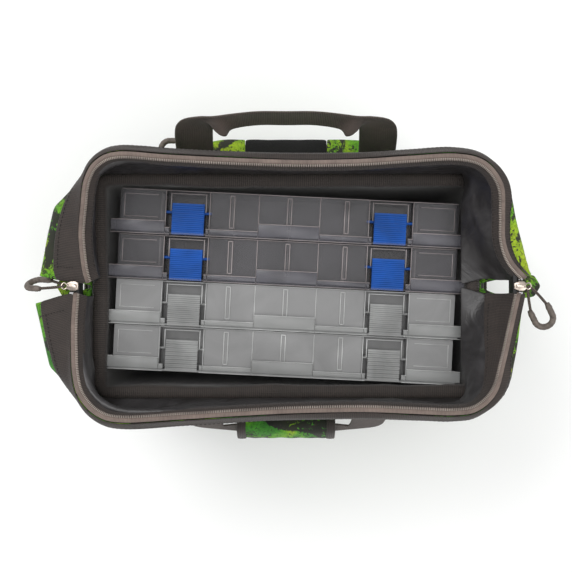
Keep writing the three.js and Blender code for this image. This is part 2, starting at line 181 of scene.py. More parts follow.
def camouflage(name, shift):
    """Printed cloth: feathery leaves in two greens with torn near-black patches, on a fine weave."""
    paint = Paint(name, roughness=0.8, Sheen_Weight=0.06)
    at = paint.mapping(paint.rest((1, 1, 0.7)), Location=(shift, shift, shift))
    turned = paint.mapping(at, Rotation=(0.3, 0.7, 0.5))
    hue = paint.noise(at, 15, 3, 0.5, 0.6)
    greens = [(0.36, rgb(28, 92, 22)), (0.47, rgb(60, 140, 24))]
    greens += [(0.56, rgb(104, 168, 22)), (0.68, rgb(164, 186, 24))]
    vein = paint.ramp(paint.noise(turned, 120, 5, 0.75, 3.0), [(0.38, 0.32), (0.5, 0.8), (0.6, 1.0)])
    leaf = paint.mix(0.85, paint.ramp(hue, greens), vein, "MULTIPLY")
    torn = paint.blend(paint.noise(turned, 95, 4, 0.7, 2.4), 0.34, paint.noise(turned, 17, 2, 0.5, 1.6), 0.8)
    patch = paint.ramp(hue, [(0.4, rgb(12, 16, 11)), (0.6, rgb(34, 38, 22))])
    color = paint.mix(paint.ramp(torn, [(0.575, 0.0), (0.6, 1.0)]), leaf, patch)
    twig = paint.ramp(paint.noise(at, 60, 2, 0.5, 5.0), [(0.61, 0.0), (0.64, 1.0)])
    paint.set(Base_Color=paint.mix(twig, color, rgb(40, 34, 26)))
    weave = paint.math("ADD", paint.wave(paint.rest(), 0.9 * MM, "DIAGONAL"), paint.noise(at, 900, 2))
    paint.bump(weave, 0.25 * MM, 0.5)
    return paint.material


def webbing(name, color, rib=1.7 * MM):
    """Ribbed webbing: ridges across the strap, a finer warp along it, and a mottle that is paler on the
    ridges' tops.
    """
    paint = Paint(name, roughness=0.72, Sheen_Weight=0.12)
    ridges = paint.wave(paint.uv(), rib, "X")
    warp = paint.wave(paint.uv(), 1.3 * MM, "Y")
    # colour from a random mottle and the ridge wave: paler on the ridges' tops, darker between them
    mottle_and_weave = paint.blend(paint.noise(paint.rest(), 60, 3, 0.6), 0.5, ridges, 0.5)
    stops = [(0.2, tint(color, 0.62)), (0.5, rgb(*color)), (0.85, tint(color, 1.32))]
    paint.set(Base_Color=paint.ramp(mottle_and_weave, stops))
    paint.bump(paint.math("MULTIPLY_ADD", warp, 0.45, ridges), 0.45 * MM, 0.7)
    return paint.material


def lining():
    """Coated lining cloth: dark grey, with a soft shine and creases; painted shade darkens the creases'
    hollows and painted highlight pales their tops.
    """
    paint = Paint("lining_cloth", roughness=0.42, Coat_Weight=0.1, Coat_Roughness=0.35)
    crease = paint.noise(paint.rest((1, 1, 0.6)), 26, 4, 0.55, 1.4)
    fine = paint.noise(paint.rest(), 420, 2)
    # painted shade in the creases' hollows and painted highlight on their tops, on the noise that bumps the
    # creases
    crease_shade_and_highlight = paint.ramp(crease, [(0.3, rgb(32, 30, 30)), (0.55, rgb(48, 46, 47)), (0.8, rgb(66, 64, 65))])
    paint.set(Base_Color=crease_shade_and_highlight, Roughness=paint.math("MULTIPLY_ADD", crease, 0.3, 0.28))
    paint.bump(paint.math("MULTIPLY_ADD", fine, 0.04, crease), 5 * MM, 0.5)
    return paint.material


def felt():
    """Napped cloth over the foam walls."""
    paint = Paint("felt_lining", roughness=0.95, Sheen_Weight=0.3)
    nap = paint.noise(paint.rest(), 330, 4, 0.7)
    mottle = paint.blend(nap, 0.6, paint.noise(paint.rest(), 30, 2), 0.4)
    paint.set(Base_Color=paint.ramp(mottle, [(0.35, rgb(34, 31, 28)), (0.65, rgb(74, 68, 60))]))
    paint.bump(nap, 1.2 * MM, 0.6)
    return paint.material


def zip_cloth():
    """Woven zip tape with its warp lines along it."""
    paint = Paint("zip_tape_cloth", roughness=0.7, Sheen_Weight=0.1)
    warp = paint.wave(paint.uv(), 1.1 * MM, "Y")
    weft = paint.wave(paint.uv(), 1.25 * MM, "X")
    # colour from a random mottle and the weft lines: paler along the lines, darker between them
    mottle_and_weave = paint.blend(paint.noise(paint.rest(), 70, 3), 0.5, weft, 0.4)
    paint.set(Base_Color=paint.ramp(mottle_and_weave, [(0.2, rgb(84, 72, 66)), (0.75, rgb(140, 124, 115))]))
    paint.bump(paint.math("ADD", warp, weft), 0.3 * MM, 0.6)
    return paint.material


def plastic(name, color, roughness, grain=0.05 * MM, alpha=1.0, cloud=0.12, **inputs):
    """Moulded plastic: faint flow marks, a fine surface grain and small scuffs."""
    paint = Paint(name, roughness=roughness, **inputs)
    flow = paint.noise(paint.rest((1, 1, 0.35)), 22, 3, 0.5, 0.8)
    scuff = paint.noise(paint.rest(), 160, 5, 0.7, 1.0)
    paint.set(Base_Color=paint.ramp(flow, [(0.3, tint(color, 1 - cloud)), (0.7, tint(color, 1 + cloud))]))
    paint.set(Roughness=paint.ramp(scuff, [(0.56, roughness), (0.74, min(1.0, roughness + 0.22))]))
    if alpha < 1:
        paint.set(Alpha=alpha)
        paint.material.surface_render_method = "BLENDED"
    paint.bump(scuff, grain, 0.6)
    return paint.material


def metal(name, color, roughness):
    """Plated metal with fine drawing marks and a little tarnish."""
    paint = Paint(name, roughness=roughness, metallic=1.0)
    tarnish = paint.noise(paint.rest(), 130, 4, 0.6)
    paint.set(Base_Color=paint.ramp(tarnish, [(0.35, tint(color, 0.72)), (0.6, rgb(*color))]))
    paint.set(Roughness=paint.ramp(tarnish, [(0.3, roughness + 0.15), (0.7, roughness)]))
    paint.bump(paint.noise(paint.rest((1, 1, 6)), 300, 3), 0.05 * MM, 0.5)
    return paint.material


def rubber():
    """Matt moulded rubber with dust in its grain."""
    paint = Paint("grip_rubber", roughness=0.62)
    dust = paint.noise(paint.rest(), 240, 4, 0.65)
    paint.set(Base_Color=paint.ramp(dust, [(0.35, rgb(74, 66, 60)), (0.7, rgb(112, 102, 94))]))
    paint.bump(dust, 0.3 * MM, 0.5)
    return paint.material


def cord_cloth(name, color):
    """Braided cord or thread: slanting strands."""
    paint = Paint(name, roughness=0.8)
    at = paint.node("ShaderNodeTexCoord").outputs["Object"]
    strands = paint.wave(at, 1.5 * MM, "DIAGONAL", 0.6)
    paint.set(Base_Color=paint.ramp(strands, [(0.2, tint(color, 0.72)), (0.8, tint(color, 1.3))]))
    paint.bump(strands, 0.35 * MM, 0.8)
    return paint.material


def mesh_cloth():
    """Black hook-and-loop patch: a dense pile."""
    paint = Paint("loop_pile", roughness=0.98, Sheen_Weight=0.1)
    pile = paint.noise(paint.rest(), 700, 3, 0.7)
    paint.set(Base_Color=paint.ramp(pile, [(0.3, rgb(6, 6, 6)), (0.8, rgb(26, 25, 25))]))
    paint.bump(pile, 0.8 * MM, 0.7)
    return paint.material


BROWN = (46, 38, 34)
PAINTS = {
    "camo": camouflage("camouflage_cloth", 0.0),
    "camo_pocket": camouflage("camouflage_pocket", 0.37),
    "camo_wrap": camouflage("camouflage_wrap", 0.83),
    "webbing": webbing("webbing_brown", BROWN),
    "strap": webbing("webbing_strap", (60, 50, 44)),
    "thread": cord_cloth("thread", (24, 21, 19)),
    "binding": webbing("webbing_binding", (48, 41, 37), 2.0 * MM),
    "lining": lining(),
    "felt": felt(),
    "zip": zip_cloth(),
    "teeth": plastic("zip_teeth", (150, 139, 131), 0.4),
    "moulded": plastic("black_moulding", (30, 30, 31), 0.6, 0.4 * MM, cloud=0.2),
    "nickel": metal("nickel_plate", (214, 200, 188), 0.24),
    "steel": metal("steel_wire", (190, 190, 192), 0.3),
    "rubber": rubber(),
    "cord": cord_cloth("cord_braid", (66, 57, 51)),
    "pile": mesh_cloth(),
    "blue": plastic("blue_plastic", (0, 76, 160), 0.45, 0.02 * MM, Specular_IOR_Level=0.25),
    "clear": plastic("clear_plastic", (82, 80, 84), 0.26, 0.004 * MM, alpha=0.36),
    "clear_lid": plastic("clear_lid_plastic", (104, 103, 110), 0.24, 0.004 * MM, alpha=0.44),
    "clear_plate": plastic("clear_plate_plastic", (120, 120, 128), 0.2, 0.004 * MM, alpha=0.26, cloud=0.05),
    "frosted_plate": plastic("frosted_plate_plastic", (160, 161, 160), 0.3, 0.01 * MM, alpha=0.5, cloud=0.05),
    # a paler, more opaque copy of the clear plastic for the ribs and dividers: painted highlight on the
    # moulding's edges
    "clear_edge": plastic("clear_edge_highlight_plastic", (158, 150, 150), 0.3, 0.01 * MM, alpha=0.8),
    "frosted": plastic("frosted_plastic", (134, 134, 134), 0.32, 0.01 * MM, alpha=0.78, cloud=0.06),
    "frosted_lid": plastic("frosted_lid_plastic", (152, 153, 152), 0.3, 0.01 * MM, alpha=0.66, cloud=0.06),
    # a paler, more opaque copy of the frosted plastic for the ribs and dividers: painted highlight on the
    # moulding's edges
    "frosted_edge": plastic("frosted_edge_highlight_plastic", (192, 193, 192), 0.3, 0.01 * MM, alpha=0.8),
    "frosted_latch": plastic("frosted_latch_plastic", (136, 137, 136), 0.36, 0.02 * MM, alpha=0.88),
}

# ---- Mesh helpers ----


def keep_rest(obj):
    """Stores each vertex's place at rest, for the materials."""
    mesh = obj.data
    co = np.empty(len(mesh.vertices) * 3, np.float32)
    mesh.vertices.foreach_get("co", co)
    attribute = mesh.attributes.new("rest", "FLOAT_VECTOR", "POINT")
    attribute.data.foreach_set("vector", co)


def place(obj, paint, body=None, replaces=()):
    """Gives a new piece its material, its smooth shading and its CAD body, and hides the CAD parts that it
    replaces.
    """
    obj.data.materials.clear()
    obj.data.materials.append(PAINTS[paint])
    if obj.type == "MESH":
        keep_rest(obj)
        obj.data.shade_smooth()
    if body:
        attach(obj, body)
    if replaces:
        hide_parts(*replaces)
    return obj


def mesh_object(name, vertices, faces):
    mesh = bpy.data.meshes.new(name)
    mesh.from_pydata([tuple(v) for v in vertices], [], [tuple(f) for f in faces])
    mesh.update()
    obj = bpy.data.objects.new(name, mesh)
    bpy.context.scene.collection.objects.link(obj)
    return obj


def unit(v):
    return v / max(np.linalg.norm(v), 1e-12)


def heading(line, i):
    """The way that a line runs at its point i."""
    return unit(line[min(i + 1, len(line) - 1)] - line[max(i - 1, 0)])


def arc(line):
    """The distance along a line to each of its points."""
    return np.concatenate([[0], np.cumsum(np.linalg.norm(np.diff(line, axis=0), axis=1))])


def at_distance(line, distances, lengths=None):
    """Points at given distances along a line."""
    lengths = arc(line) if lengths is None else lengths
    return np.stack([np.interp(distances, lengths, line[:, k]) for k in range(3)], -1)


def turns(sides):
    """Equal angles round a full circle."""
    return np.linspace(0, 2 * math.pi, sides, endpoint=False)


def circle(centre, across, up, radius, sides):
    """Points round a centre, in the plane of two unit vectors."""
    return [centre + radius * (across * math.cos(a) + up * math.sin(a)) for a in turns(sides)]


def grid(name, points, close_along=False, close_across=False, caps=False):
    """Quads over rows of points, with UVs in metres: u along the rows, v from row to row's next point."""
    points = np.asarray(points, float)
    rows, columns = points.shape[:2]
    faces = []
    for i in range(rows if close_along else rows - 1):
        for j in range(columns if close_across else columns - 1):
            a, b = i * columns, ((i + 1) % rows) * columns
            k = (j + 1) % columns
            faces.append((a + j, b + j, b + k, a + k))
    if caps:
        faces.append(tuple(range(columns)))
        faces.append(tuple((rows - 1) * columns + j for j in reversed(range(columns))))
    obj = mesh_object(name, points.reshape(-1, 3), faces)
    spine, middle = points.mean(1), points[rows // 2]
    along, across = arc(spine), arc(middle)
    seam_u = along[-1] + np.linalg.norm(spine[0] - spine[-1])
    seam_v = across[-1] + np.linalg.norm(middle[0] - middle[-1])
    layer = obj.data.uv_layers.new(name="metres")
    for face in obj.data.polygons:
        at = [divmod(v, columns) for v in face.vertices]
        wrap_along = {0, rows - 1} <= {i for i, _ in at} and rows > 2
        wrap_across = {0, columns - 1} <= {j for _, j in at} and columns > 2
        for loop, (i, j) in zip(face.loop_indices, at):
            u = seam_u if wrap_along and i == 0 else along[i]
            v = seam_v if wrap_across and j == 0 else across[j]
            layer.data[loop].uv = (u, v)
    return obj


def modify(obj, kind, **settings):
    made = obj.modifiers.new(kind.lower(), kind)
    for name, value in settings.items():
        setattr(made, name, value)
    return made


def thicken(obj, thickness, offset=0.0, smooth=1):
    """Cloth thickness, then a subdivision that rounds it."""
    modify(obj, "SOLIDIFY", thickness=thickness, offset=offset, use_even_offset=True)
    if smooth:
        modify(obj, "SUBSURF", levels=smooth, render_levels=smooth)
    return obj


def bevel(obj, width, segments=2):
    modify(obj, "BEVEL", width=width, segments=segments, limit_method="ANGLE", angle_limit=math.radians(30))
    return obj


def catmull_at(points, knots):
    """Points of a Catmull-Rom curve through points, at fractional indices."""
    p = [np.array(x, float) for x in points]
    p = [2 * p[0] - p[1], *p, 2 * p[-1] - p[-2]]
    out = []
    for k in knots:
        i = min(int(k), len(points) - 2)
        t = k - i
        a, b, c, d = p[i : i + 4]
        cubic = (3 * b - a - 3 * c + d) * t**3
        out.append(0.5 * (2 * b + (c - a) * t + (2 * a - 5 * b + 4 * c - d) * t**2 + cubic))
    return np.array(out)


def smooth_line(points, step):
    """A smooth curve through given points, as points about step metres apart."""
    knots = []
    for i, (b, c) in enumerate(zip(points, points[1:])):
        count = max(2, int(round(np.linalg.norm(np.array(c, float) - np.array(b, float)) / step)))
        knots += list(i + np.linspace(0, 1, count, endpoint=False))
    return catmull_at(points, [*knots, len(points) - 1])


def strap(name, centres, acrosses, width, thick, crown=0.0):
    """A flat strap with rounded edges along centres; acrosses point along its width."""
    centres = np.asarray(centres, float)
    w, h = width / 2, thick / 2
    section = [(-w, -h * 0.4), (-w + h, -h), (0, -h + crown), (w - h, -h), (w, -h * 0.4)]
    section += [(w, h * 0.4), (w - h, h), (0, h + crown), (-w + h, h), (-w, h * 0.4)]
    rows = []
    for i, centre in enumerate(centres):
        along = heading(centres, i)
        across = np.asarray(acrosses[i], float)
        across = unit(across - along * (across @ along))
        up = np.cross(along, across)
        rows.append([centre + across * a + up * b for a, b in section])
    return grid(name, rows, close_across=True, caps=True)


def tube(name, centres, radius, sides=12):
    """A round tube along centres; radius may be one number or one for each centre."""
    centres = np.asarray(centres, float)
    radii = np.broadcast_to(np.asarray(radius, float), (len(centres),))
    side = unit(np.cross(heading(centres, 0), [0.0, 0.3, 1.0]))
    rows = []
    for i, centre in enumerate(centres):
        along = heading(centres, i)
        side = unit(side - along * (side @ along))
        rows.append(circle(centre, side, np.cross(along, side), radii[i], sides))
    return grid(name, rows, close_across=True, caps=True)


def join(name, objects):
    """Joins pieces of one material into one object."""
    bpy.ops.object.select_all(action="DESELECT")
    for obj in objects:
        obj.select_set(True)
    bpy.context.view_layer.objects.active = objects[0]
    bpy.ops.object.join()
    objects[0].name = name
    return objects[0]


BLOCK_FACES = [(3, 2, 1, 0), (4, 5, 6, 7), (0, 1, 5, 4), (1, 2, 6, 5), (2, 3, 7, 6), (3, 0, 4, 7)]


def block(low, high):
    """A box between two corners, as vertices and faces."""
    (x0, y0, z0), (x1, y1, z1) = low, high
    return [(x, y, z) for z in (z0, z1) for x, y in ((x0, y0), (x1, y0), (x1, y1), (x0, y1))], BLOCK_FACES


def blocks(name, boxes):
    """Many boxes in one mesh."""
    vertices, faces = [], []
    for low, high in boxes:
        v, f = block(low, high)
        faces += [tuple(i + len(vertices) for i in face) for face in f]
        vertices += v
    return mesh_object(name, vertices, faces)


def span(x, y, z):
    """A box from its stretches along x, y and z."""
    return tuple(zip(x, y, z))


def about(middle, half):
    """A stretch of a given half length about its middle."""
    return middle - half, middle + half


def stitches(name, line, lift, body=None, pitch=4.2 * MM, long=2.6 * MM, thick=0.75 * MM):
    """A row of thread stitches along a line; lift is the way that the seam faces."""
    line = np.asarray(line, float)
    lengths = arc(line)
    vertices, faces = [], []
    for s in np.arange(pitch, lengths[-1] - long, pitch):
        a, b = at_distance(line, [s, s + long], lengths)
        x = unit(b - a)
        y = unit(np.cross(np.asarray(lift, float), x))
        base, middle = len(vertices), (a + b) / 2
        for dx, r in ((-long / 2, 0.5), (-long / 4, 1.0), (long / 4, 1.0), (long / 2, 0.5)):
            vertices += circle(middle + x * dx, y, np.cross(x, y), r * thick / 2, 6)
        for i in range(base, base + 18, 6):
            faces += [(i + k, i + (k + 1) % 6, i + 6 + (k + 1) % 6, i + 6 + k) for k in range(6)]
        faces += [tuple(base + k for k in reversed(range(6))), tuple(base + 18 + k for k in range(6))]
    return place(mesh_object(name, vertices, faces), "thread", body)


def ripple(at, scale, amount, seed=0.0):
    """A smooth repeatable unevenness."""
    return amount * noise.noise(Vector((at[0] * scale + seed, at[1] * scale, at[2] * scale)))


# ---- Camera, lights, floor ----

CAMERA_Z = 1.235
LIGHTS = (  # name, place, power in watts, size
    ("key", (-0.9, 1.0, 2.2), 23, 1.1),
    ("fill", (1.2, -0.9, 1.9), 14, 1.6),
    ("top", (0.1, 0.1, 2.8), 12, 1.2),
)


def make_stage():
    scene = bpy.context.scene
    camera = bpy.data.objects.new("camera", bpy.data.cameras.new("camera"))
    camera.location = (0, 0, CAMERA_Z)
    camera.data.lens = 61.0
    camera.data.sensor_width = 36
    camera.data.clip_end = 20
    scene.collection.objects.link(camera)
    scene.camera = camera
    scene.view_settings.view_transform = "Standard"

    floor = mesh_object("floor", *block((-6, -6, -0.02), (6, 6, -0.0005)))
    paint = Paint("floor_white", roughness=0.9)
    cloud = paint.noise(paint.node("ShaderNodeTexCoord").outputs["Object"], 3)
    paint.set(Base_Color=paint.ramp(cloud, [(0.3, rgb(250, 250, 250)), (0.7, rgb(252, 252, 252))]))
    floor.data.materials.append(paint.material)

    world = bpy.data.worlds.new("studio")
    world.use_nodes = True
    sky = world.node_tree.nodes["Background"].inputs
    sky["Color"].default_value = (1, 1, 1, 1)
    sky["Strength"].default_value = 0.66
    scene.world = world
    for name, at, power, size in LIGHTS:
        data = bpy.data.lights.new(name, "AREA")
        data.energy, data.size = power, size
        light = bpy.data.objects.new(name, data)
        light.location = at
        light.rotation_euler = (-Vector(at)).to_track_quat("-Z", "Y").to_euler()
        scene.collection.objects.link(light)


make_stage()

# ---- Zip pulls: cords first ----

PULL_LONG = 27 * MM
PULL_WIDE = 9 * MM
CORD = 2.8 * MM
CORD_POINTS = [(27, 9), (12, 5), (3, 1.8), (0, 0), (3, -1.8), (12, -5), (27, -9)]


def pull_matrix(joint, bearing, dip, roll):
    """Places a pull whose cord lies along its own +X, from the joint's point at the slider's eye."""
    turn = Matrix.Rotation(math.radians(bearing), 4, "Z") @ Matrix.Rotation(math.radians(dip), 4, "Y")
    turn = turn @ Matrix.Rotation(math.radians(roll), 4, "X")
    return Matrix.Translation(Vector(JOINTS[joint]["pos_m"])) @ turn


def make_pull(name, bearing, dip, roll):
    """A cord loop through a slider's eye, with both ends in a moulded grip; the turns are in degrees."""
    body = f"{name}_pull"
    at = pull_matrix(body, bearing, dip, roll)
    line = smooth_line([at @ Vector((x * MM, y * MM, 0)) for x, y in CORD_POINTS], 2.2 * MM)

    data = bpy.data.curves.new(f"{body}_cord", "CURVE")
    data.dimensions = "3D"
    spline = data.splines.new("POLY")
    spline.points.add(len(line) - 1)
    for point, where in zip(spline.points, line):
        point.co = (*where, 1)
    data.bevel_depth = CORD / 2
    data.bevel_resolution = 3
    data.use_fill_caps = True
    cord = bpy.data.objects.new(f"{body}_cord_loop", data)
    bpy.context.scene.collection.objects.link(cord)
    place(cord, "cord", body, [f"{body}_cord"])

    start, turn_x = PULL_LONG - 3 * MM, PULL_LONG + 10 * MM
    bend = np.linspace(0, math.pi, 13)
    route = [(turn_x + PULL_WIDE * math.sin(a), PULL_WIDE * math.cos(a)) for a in bend]
    route = [(start, PULL_WIDE), *route, (start, -PULL_WIDE)]
    centres = smooth_line([at @ Vector((x, y, 0)) for x, y in route], 1.6 * MM)
    share = np.linspace(0, 1, len(centres))
    end = np.clip(np.minimum(share, 1 - share) / 0.05, 0, 1)
    radius = (2.3 + 0.8 * end + 0.12 * np.cos(share * 2 * math.pi * 14)) * MM
    grip = tube(f"{body}_moulded_grip", centres, radius, 14)
    place(grip, "rubber", body, [f"{body}_grip"])


make_pull("left", 176, 30, 60)
make_pull("right", -62, 12, 14)
make_pull("rear", 180, 0, 0)

# ---- The mouth's line ----

ROW = 16  # points in a row of cloth, from the rim to the zip
ARM_X = 150 * MM  # further out than this, the mouth turns into its arms

# Where the slack zip lies round each open half, in millimetres: x from the mouth's middle, y from the hinges.
# Each list runs along the left arm, the long side and the right arm.
ZIP_ROUTE = {
    1: [(-205, -3), (-208, 12), (-209, 45), (-205, 75), (-200, 100), (-189, 117)]
    + [(-168, 125), (-120, 122), (-60, 119), (3, 117), (60, 118), (107, 121), (151, 123)]
    + [(178, 116), (195, 95), (199, 66), (201, 41), (209, 20), (225, 2)],
    -1: [(-217, 1), (-217, 32), (-215, 60), (-212, 84), (-205, 104), (-188, 121)]
    + [(-164, 127), (-109, 124), (-42, 120), (3, 118), (64, 117), (116, 119), (150, 120)]
    + [(171, 116), (189, 99), (200, 68), (208, 40), (219, 1)],
}


def wire_x(y):
    """How far out the wire's arm is at a distance from the hinges."""
    return HINGE_X + (CORNER_X - HINGE_X) * y / REACH


def normals(line):
    """The way to the left of a flat line at each of its points."""
    tangent = np.gradient(line, axis=0)
    tangent /= np.linalg.norm(tangent, axis=1)[:, None]
    return np.stack([-tangent[:, 1], tangent[:, 0]], 1)


def mouth_line(side):
    """The zip from left hinge to right: (x, y) in the half's own plane, and the normals outward."""
    line = smooth_line([np.array(p) * MM for p in ZIP_ROUTE[side]], 5 * MM)
    return line, normals(line)


def wire_line():
    """Stations along the steel wire, left hinge to right hinge."""
    bend_y = REACH - BEND
    arm = [(wire_x(y), y) for y in np.linspace(9 * MM, bend_y, 10, endpoint=False)]
    ends = ((wire_x(bend_y), bend_y), (CORNER_X, REACH), (CORNER_X - BEND, REACH))
    a, b, c = (np.array(p) for p in ends)
    bend = [tuple((1 - t) ** 2 * a + 2 * t * (1 - t) * b + t * t * c) for t in np.linspace(0, 1, 10)]
    half = arm + bend
    return np.array([(-x, y) for x, y in half] + half[::-1])


def mouth_world(side, x, y, z):
    """From an open half's own plane, y away from the hinge and z above it, to the row frame."""
    return np.array([
        HINGE.x + x,
        side * (HINGE.y + y * math.cos(RISE) - z * math.sin(RISE)),
        HINGE.z + y * math.sin(RISE) + z * math.cos(RISE),
    ])


def mouth_offset(side, out, z):
    """The mouth's line moved out by out in its plane and up by z."""
    line, normal = mouth_line(side)
    return np.array([mouth_world(side, x + out * n[0], y + out * n[1], z) for (x, y), n in zip(line, normal)])


def rim_point(at, side, inset, z):
    """The walls' top edge below a zip point: the same share of an arm, a corner or a long side."""
    hx, hy, r = SHELL_HIGH.x - inset, SHELL_HIGH.y - inset, 16 * MM
    x, y = at
    hand = 1 if x > 0 else -1
    arm_y = 96 * MM
    if abs(x) <= ARM_X:
        return np.array([x / ARM_X * (hx - r), side * hy, z])
    if y <= arm_y:
        return np.array([hand * hx, side * max(0.5 * MM, y / arm_y * (hy - r)), z])
    turn = math.atan2(y - arm_y, abs(x) - ARM_X)
    return np.array([hand * (hx - r + r * math.cos(turn)), side * (hy - r + r * math.sin(turn)), z])


def fold_point(at, n, side):
    """Where the outer cloth folds: far out at the hinges, and close under the zip elsewhere."""
    x, y = at
    close = mouth_world(side, x + n[0] * 2.5 * MM, y + n[1] * 2.5 * MM, -11 * MM)
    arm = np.clip((104 * MM - y) / (34 * MM), 0, 1) * np.clip((abs(x) - ARM_X) / (30 * MM), 0, 1)
    near = np.clip(1 - y / (110 * MM), 0, 1)
    if x < 0:
        out = 218 + 27 * near if side > 0 else 222 + 27 * near
    else:
        out = 207 + 34 * np.clip(1 - y / (78 * MM), 0, 1) ** 0.8 if side > 0 else 205 + 15 * near
    far = np.array([math.copysign(out, x), 10 + 955 * max(y, 0), 276 + 12 * (1 - near)]) * (1, side, 1) * MM
    if x < 0 and side < 0:
        far[1] -= 6 * MM * near
    return close * (1 - arm) + far * arm


def over_wire(at, side, out):
    """A point just outside and above the wire's sleeve, or beside the zip where that is further out."""
    x, y = at
    hand = 1 if x > 0 else -1
    if abs(x) < ARM_X:
        return mouth_world(side, x, max(y, REACH + 1.5 * MM) + out, 1.0 * MM)
    reach = np.clip(y / (CORNER_X - BEND) * 1.35, 0, 1)
    wide = max(abs(x) + out, (wire_x(max(y, 0)) + 4.8 * MM) * (1 - reach**4) + reach**4 * (abs(x) + out))
    return mouth_world(side, hand * wide, y + out * reach**4, 3.6 * MM)


def outer_surface(side):
    """Rows over the outer cloth of one half: from the rim out to the fold, over the sleeve to the zip."""
    line, normal = mouth_line(side)
    rows = []
    for at, n in zip(line, normal):
        rim = rim_point(at, side, -1.2 * MM, RIM_HIGH.z - 7 * MM)
        zip_edge = mouth_world(side, *(at + n * 2.6 * MM), TAPE_Z - 0.8 * MM)
        row = resample([rim, fold_point(at, n, side), over_wire(at, side, 3.4 * MM), zip_edge], ROW)
        sway = [side * soft(v) * ripple(p, 26, 3.2 * MM, 3.0) for v, p in zip(np.linspace(0, 1, ROW), row)]
        rows.append([p + np.array([0, s, 0]) for p, s in zip(row, sway)])
    return np.array(rows)


def soft(v):
    """No unevenness at either sewn edge."""
    return math.sin(math.pi * min(1.0, v * 1.15)) if v < 0.87 else 0.0


def resample(points, count):
    """A smooth curve through points, cut into equal steps."""
    dense = smooth_line(points, 1.5 * MM)
    return at_distance(dense, np.linspace(0, arc(dense)[-1], count))


def inner_surface(side):
    """Rows over the lining of one half, from inside the rim up to the zip, with its slack creases."""
    line, normal = mouth_line(side)
    rows = []
    for at, n in zip(line, normal):
        right_arm = np.clip((at[0] - ARM_X) / (40 * MM), 0, 1)
        rim = rim_point(at, side, (1.5 + 19 * right_arm) * MM, RIM_HIGH.z + 1.2 * MM)
        under = mouth_world(side, *(at - n * 10 * MM), -3 * MM)
        middle = (rim + under) / 2 + np.array([0, side * 2 * MM, -4 * MM])
        top = mouth_world(side, *(at - n * 3.4 * MM), TAPE_Z - 1.4 * MM)
        row = resample([rim, middle, under, top], ROW)
        inward = np.array([-n[0], -side * n[1], 0.3])
        creased = []
        for v, p in zip(np.linspace(0, 1, ROW), row):
            folds = ripple(p * np.array([1, 1, 2]), 17, 6 * MM, 5.0)
            creases = ripple(p * np.array([1, 1, 2.5]), 48, 2.4 * MM, 1.0)
            creased.append(p + inward * soft(v) * (folds + creases))
        rows.append(creased)
    return np.array(rows)


def strip_on(surface, reach, lift, overlap):
    """A strip over the zip end of a surface: reach is its width at each row, lift how far it stands off, and
    overlap how far it passes the surface's end, on to the tape."""
    rows = []
    for row, wide in zip(surface, reach):
        strip = at_distance(row[::-1], np.linspace(0, wide, 7))
        strip[0] += unit(strip[0] - strip[1]) * overlap
        rows.append(strip + np.array([0, 0, lift]))
    rows = np.array(rows)
    face = np.cross(np.gradient(rows[:, 3], axis=0), rows[:, -1] - rows[:, 0])
    face /= np.maximum(np.linalg.norm(face, axis=1), 1e-9)[:, None]
    face *= np.sign(face[:, 2:3] + 1e-9)
    return rows + face[:, None, :] * lift


def blend_half(obj):
    """Bakes the place of cloth that runs from the rim below to one wire half above into its mesh."""
    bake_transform(obj)


def make_cloth(name, side, outer, inner):
    """The camouflage outside and the lining of one half, both sewn to the rim and to the zip."""
    cloth = grid(f"{name}_skirt_cloth", outer)
    place(cloth, "camo", replaces=[f"{name}_skirt"])
    for rest in cloth.data.attributes["rest"].data:  # the folds take up slack, so the print is not stretched
        x, y, z = rest.vector
        rest.vector = (x, y, RIM_HIGH.z + 1.7 * (z - RIM_HIGH.z))
    blend_half(cloth)
    thicken(cloth, 1.1 * MM)

    inside = grid(f"{name}_skirt_lining", inner)
    place(inside, "lining")
    blend_half(inside)
    thicken(inside, 0.9 * MM)


def make_edges(name, side, outer, inner):
    """Webbing over the zip's sewn edges, wide along the left arms outside and the front right arm inside."""
    x, y = mouth_line(side)[0].T
    near = np.clip(1 - y / REACH, 0, 1)
    left, right = x < -ARM_X, x > ARM_X
    wide_left = 14 + (16 if side > 0 else 21) * near
    out_reach = np.where(left, wide_left, np.where(right & (y < 88 * MM), 4, 13)) * MM
    in_reach = np.where(right & (side < 0), 8 + 29 * near, 9) * MM
    bands = (("outer", outer, out_reach, 1.3 * MM), ("inner", inner, in_reach, 0))
    for tag, surface, reach, overlap in bands:
        reach = np.convolve(np.pad(reach, 4, "edge"), np.ones(9) / 9, "valid")
        rows = strip_on(surface, reach, 0.9 * MM, overlap)
        band = grid(f"{name}_{tag}_edge_webbing", rows)
        place(band, "webbing")
        blend_half(band)
        thicken(band, 1.0 * MM)
        seam = stitches(f"{name}_{tag}_edge_stitches", rows[2:-2, 5] + np.array([0, 0, 0.7 * MM]), UP)
        blend_half(seam)
        if tag == "outer":
            end = rows[3, 1:] + np.array([0, 0, 0.8 * MM])
            blend_half(stitches(f"{name}_left_end_stitches", end, UP, pitch=3 * MM, long=1.7 * MM))


